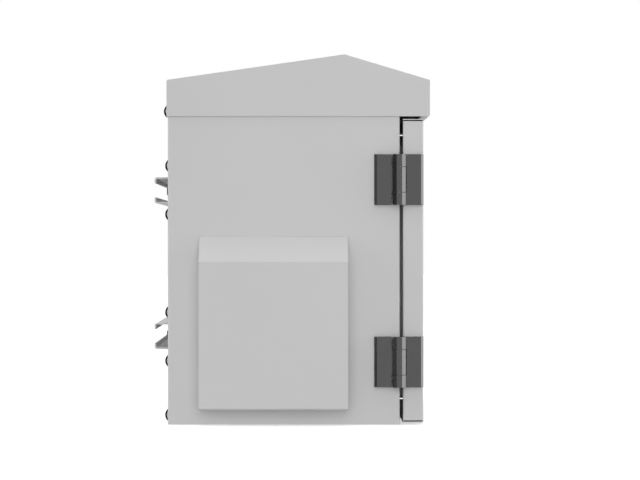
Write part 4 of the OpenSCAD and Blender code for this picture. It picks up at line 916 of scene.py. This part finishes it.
class CABINET_OT_make_filter(bpy.types.Operator):
    """Model the fleece mat and finish its holder"""

    bl_idname = "cabinet.make_filter"
    bl_label = "Make filter"

    def execute(self, context):
        scene = context.scene
        sizes = scene.cabinet_sizes
        dress(("filter_frame", "filter_cover"), plastic_material(scene))
        low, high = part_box("filter_mat")
        size, middle = high - low, (low + high) / 2
        bpy.ops.object.select_all(action="DESELECT")
        bpy.ops.mesh.primitive_cube_add(size=1, location=middle, scale=size)
        mat = bpy.context.object
        mat.name = "fleece_mat"
        apply_place()
        # Round the cut edges, then divide the faces finely enough for the fluff
        bpy.ops.object.mode_set(mode="EDIT")
        bpy.ops.mesh.select_all(action="SELECT")
        bpy.ops.mesh.bevel(offset=size.x * 0.28, segments=3, profile=0.5, affect="EDGES")
        bpy.ops.mesh.select_all(action="SELECT")
        bpy.ops.mesh.subdivide(number_cuts=5)
        close_up()
        bpy.ops.object.modifier_add(type="SUBSURF")
        finer = mat.modifiers[-1]
        finer.levels = finer.render_levels = 2
        bpy.ops.object.modifier_apply(modifier=finer.name)
        for width, share in ((0.02, 0.6), (0.004, 0.4)):
            clouds = bpy.data.textures.new("fluff", "CLOUDS")
            clouds.noise_scale = width
            bpy.ops.object.modifier_add(type="DISPLACE")
            fluff = mat.modifiers[-1]
            fluff.texture = clouds
            fluff.texture_coords = "LOCAL"
            fluff.mid_level = 1.0
            fluff.strength = sizes.mat_fluff * share
            bpy.ops.object.modifier_apply(modifier=fluff.name)
            bpy.data.textures.remove(clouds)
        hand_over(mat, finish_of("polyester fleece", filter_fleece, tuple(scene.cabinet_colours.fleece)),
            "cabinet", "filter_mat", 60)
        return {"FINISHED"}


class CABINET_OT_finish_cable_entry(bpy.types.Operator):
    """Finish the rubber grommets and the plate's seal"""

    bl_idname = "cabinet.finish_cable_entry"
    bl_label = "Finish cable entry"

    def execute(self, context):
        dress(("cable_grommets", "gland_plate_seal"), finish_of("moulded EPDM rubber", moulded_rubber,
            tuple(context.scene.cabinet_colours.rubber)))
        return {"FINISHED"}


class CABINET_OT_make_door_seal(bpy.types.Operator):
    """Model the foam bead round the inside of the door"""

    bl_idname = "cabinet.make_door_seal"
    bl_label = "Make door seal"

    def execute(self, context):
        scene = context.scene
        sizes = scene.cabinet_sizes
        low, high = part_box("door_gasket")
        size, middle = high - low, (low + high) / 2
        wide = sizes.seal_width
        bpy.ops.object.select_all(action="DESELECT")
        bpy.ops.mesh.primitive_plane_add(
            size=1, location=(middle.x, low.y, middle.z), rotation=(math.pi / 2, 0, 0))
        bead = bpy.context.object
        bead.name = "foam_seal"
        bead.scale = (size.x, size.z, 1)
        apply_place()
        # Round the corners, leave a ring as wide as the bead, and draw it out to the bead's height
        bpy.ops.object.mode_set(mode="EDIT")
        bpy.ops.mesh.select_all(action="SELECT")
        bpy.ops.mesh.bevel(offset=sizes.seal_corner, segments=8, profile=0.5, affect="VERTICES")
        bpy.ops.mesh.select_mode(type="FACE")
        bpy.ops.mesh.select_all(action="SELECT")
        bpy.ops.mesh.inset(thickness=wide, use_even_offset=True)
        bpy.ops.mesh.delete(type="FACE")
        bpy.ops.mesh.select_all(action="SELECT")
        bpy.ops.mesh.extrude_region_move(TRANSFORM_OT_translate={"value": (0, size.y, 0)})
        close_up()
        # The free side of the bead is a low dome
        pick(bead, "FACE", lambda p: p.y > high.y - 1e-5)
        bpy.ops.mesh.region_to_loop()
        bpy.ops.mesh.bevel(offset=wide * 0.42, segments=5, profile=0.5, affect="EDGES")
        close_up()
        hand_over(bead, finish_of("polyurethane foam", foamed_bead, tuple(scene.cabinet_colours.foam)),
            "door", "door_gasket", 40)
        return {"FINISHED"}


class CABINET_OT_finish_locks(bpy.types.Operator):
    """Finish the lock housings, rotors and cams"""

    bl_idname = "cabinet.finish_locks"
    bl_label = "Finish locks"

    def execute(self, context):
        scene = context.scene
        dress(("upper_lock_housing", "lower_lock_housing"), finish_of("black lacquered zinc", black_coating,
            tuple(scene.cabinet_colours.lock), scene.cabinet_sizes.edge_round))
        dress(("upper_lock_rotor", "lower_lock_rotor"), plated_material(scene))
        dress(("upper_lock_cam", "lower_lock_cam"), zinc_material(scene))
        return {"FINISHED"}


class CABINET_OT_set_stage(bpy.types.Operator):
    """Lay the floor, light the cabinet and aim the camera at its hinge side"""

    bl_idname = "cabinet.set_stage"
    bl_label = "Set stage"

    def floor(self, colour):
        bpy.ops.object.select_all(action="DESELECT")
        bpy.ops.mesh.primitive_plane_add(size=FLOOR_SIZE, location=(0, 0, FLOOR_DROP))
        floor = bpy.context.object
        floor.name = "floor"
        # The camera sees the pale floor lifted to white, and the cabinet's shadow on it
        material, tree, shader, place = start_material("pale floor",
            {"Roughness": 1.0, "Specular IOR Level": 0.0})
        stain = add_node(tree, "ShaderNodeTexNoise", {"Vector": place, "Scale": 0.8, "Detail": 2.0})
        tone = blend(tree, stain, colour, dark=0.99, light=1.01)
        tree.links.new(tone.outputs[2], shader.inputs["Base Color"])
        seen = seen_rays(tree)
        lift = add_node(tree, "ShaderNodeMath", {0: seen.outputs[0], 1: FLOOR_LIFT}, operation="MULTIPLY")
        shader.inputs["Emission Color"].default_value = (1, 1, 1, 1)
        tree.links.new(lift.outputs[0], shader.inputs["Emission Strength"])
        floor.data.materials.append(material)
        # It neither darkens the cabinet nor shows in its metal, which is lit as if it hung free
        floor.visible_diffuse = floor.visible_glossy = False

    def card(self, name, location, size, level):
        """An upright card that only gloss mirrors."""
        bpy.ops.object.select_all(action="DESELECT")
        bpy.ops.mesh.primitive_plane_add(size=1, location=location, rotation=(math.pi / 2, 0, 0))
        card = bpy.context.object
        card.name = name
        card.scale = (size[0], size[1], 1)
        material = bpy.data.materials.new(name)
        material.use_nodes = True
        tree = material.node_tree
        tree.nodes.clear()
        glow = add_node(tree, "ShaderNodeEmission", {"Color": (1, 1, 1, 1), "Strength": level})
        add_node(tree, "ShaderNodeOutputMaterial", {"Surface": glow.outputs[0]})
        card.data.materials.append(material)
        card.visible_camera = card.visible_diffuse = card.visible_shadow = False
        card.visible_transmission = card.visible_volume_scatter = False

    def execute(self, context):
        scene = context.scene
        scene.view_settings.view_transform = "Standard"
        self.floor(tuple(scene.cabinet_colours.floor))
        for values in CARDS:
            self.card(*values)

        world = bpy.data.worlds.new("plain studio")
        scene.world = world
        world.use_nodes = True
        tree = world.node_tree
        tree.nodes.clear()
        seen = seen_rays(tree)
        # Four wide soft boxes round the cabinet, a little above its middle, in a dimmer room
        way = add_node(tree, "ShaderNodeTexCoord").outputs["Generated"]
        raised = add_node(tree, "ShaderNodeVectorMath", {0: way, 1: (0, 0, BOX_RISE)}, operation="SUBTRACT")
        unit = add_node(tree, "ShaderNodeVectorMath", {0: raised.outputs[0]}, operation="NORMALIZE")
        even = add_node(tree, "ShaderNodeVectorMath", {0: unit.outputs[0]}, operation="ABSOLUTE")
        along = add_node(tree, "ShaderNodeSeparateXYZ", {0: even.outputs[0]})
        side = add_node(tree, "ShaderNodeMath",
            {0: along.outputs[0], 1: along.outputs[1]}, operation="MAXIMUM")
        boxes = add_node(tree, "ShaderNodeMapRange",
            {"Value": side.outputs[0], "From Min": BOX_EDGE[0], "From Max": BOX_EDGE[1],
             "To Min": ROOM_LEVEL, "To Max": BOX_LEVEL}, interpolation_type="SMOOTHSTEP")
        # The one behind the cabinet is the brightest
        lean = add_node(tree, "ShaderNodeSeparateXYZ", {0: unit.outputs[0]})
        rear = add_node(tree, "ShaderNodeMapRange",
            {"Value": lean.outputs[1], "To Min": 1.0, "To Max": REAR_SHARE})
        level = add_node(tree, "ShaderNodeMath",
            {0: boxes.outputs[0], 1: rear.outputs[0]}, operation="MULTIPLY")
        light = add_node(tree, "ShaderNodeBackground", {"Color": (1, 1, 1, 1), "Strength": level.outputs[0]})
        white = add_node(tree, "ShaderNodeBackground", {"Color": (1, 1, 1, 1), "Strength": 1.0})
        mix = add_node(tree, "ShaderNodeMixShader",
            {0: seen.outputs[0], 1: light.outputs[0], 2: white.outputs[0]})
        add_node(tree, "ShaderNodeOutputWorld", {"Surface": mix.outputs[0]})

        bpy.ops.object.select_all(action="DESELECT")
        bpy.ops.object.light_add(type="AREA", location=LAMP_PLACE)
        lamp = bpy.context.object
        lamp.name = "soft box"
        lamp.rotation_euler = (Vector(LAMP_AIM) - lamp.location).to_track_quat("-Z", "Y").to_euler()
        lamp.data.size = LAMP_SIZE
        lamp.data.energy = LAMP_WATTS
        lamp.visible_glossy = False

        bpy.ops.object.camera_add(location=CAMERA_PLACE, rotation=(math.pi / 2, 0, -math.pi / 2))
        camera = bpy.context.object
        camera.data.lens = LENS_MM
        camera.data.sensor_width = SENSOR_MM
        camera.data.shift_x = LENS_SHIFT
        camera.data.clip_end = 100
        scene.camera = camera
        return {"FINISHED"}


class CABINET_PT_build(bpy.types.Panel):
    """The cabinet's settings and steps"""

    bl_label = "Outdoor rack cabinet"
    bl_idname = "CABINET_PT_build"
    bl_space_type = "VIEW_3D"
    bl_region_type = "UI"
    bl_category = "Cabinet"

    def draw(self, context):
        for group in (context.scene.cabinet_colours, context.scene.cabinet_sizes):
            box = self.layout.box()
            for name in group.__annotations__:
                box.prop(group, name)
        for step in STEPS:
            self.layout.operator(step.bl_idname)


STEPS = (
    CABINET_OT_coat_sheet_metal,
    CABINET_OT_finish_hinges,
    CABINET_OT_finish_rack,
    CABINET_OT_make_dome_bolts,
    CABINET_OT_make_flange_nuts,
    CABINET_OT_make_channel_bolts,
    CABINET_OT_make_socket_screws,
    CABINET_OT_make_hexagon_nuts,
    CABINET_OT_make_earth_stud,
    CABINET_OT_finish_fan,
    CABINET_OT_make_filter,
    CABINET_OT_finish_cable_entry,
    CABINET_OT_make_door_seal,
    CABINET_OT_finish_locks,
    CABINET_OT_set_stage,
)
CLASSES = (CabinetColours, CabinetSizes) + STEPS + (CABINET_PT_build,)


def register():
    for item in CLASSES:
        bpy.utils.register_class(item)
    bpy.types.Scene.cabinet_colours = bpy.props.PointerProperty(type=CabinetColours)
    bpy.types.Scene.cabinet_sizes = bpy.props.PointerProperty(type=CabinetSizes)


def unregister():
    del bpy.types.Scene.cabinet_sizes
    del bpy.types.Scene.cabinet_colours
    for item in reversed(CLASSES):
        bpy.utils.unregister_class(item)


def main():
    register()
    for step in STEPS:
        group, name = step.bl_idname.split(".")
        getattr(getattr(bpy.ops, group), name)()


if __name__ == "__main__":
    main()
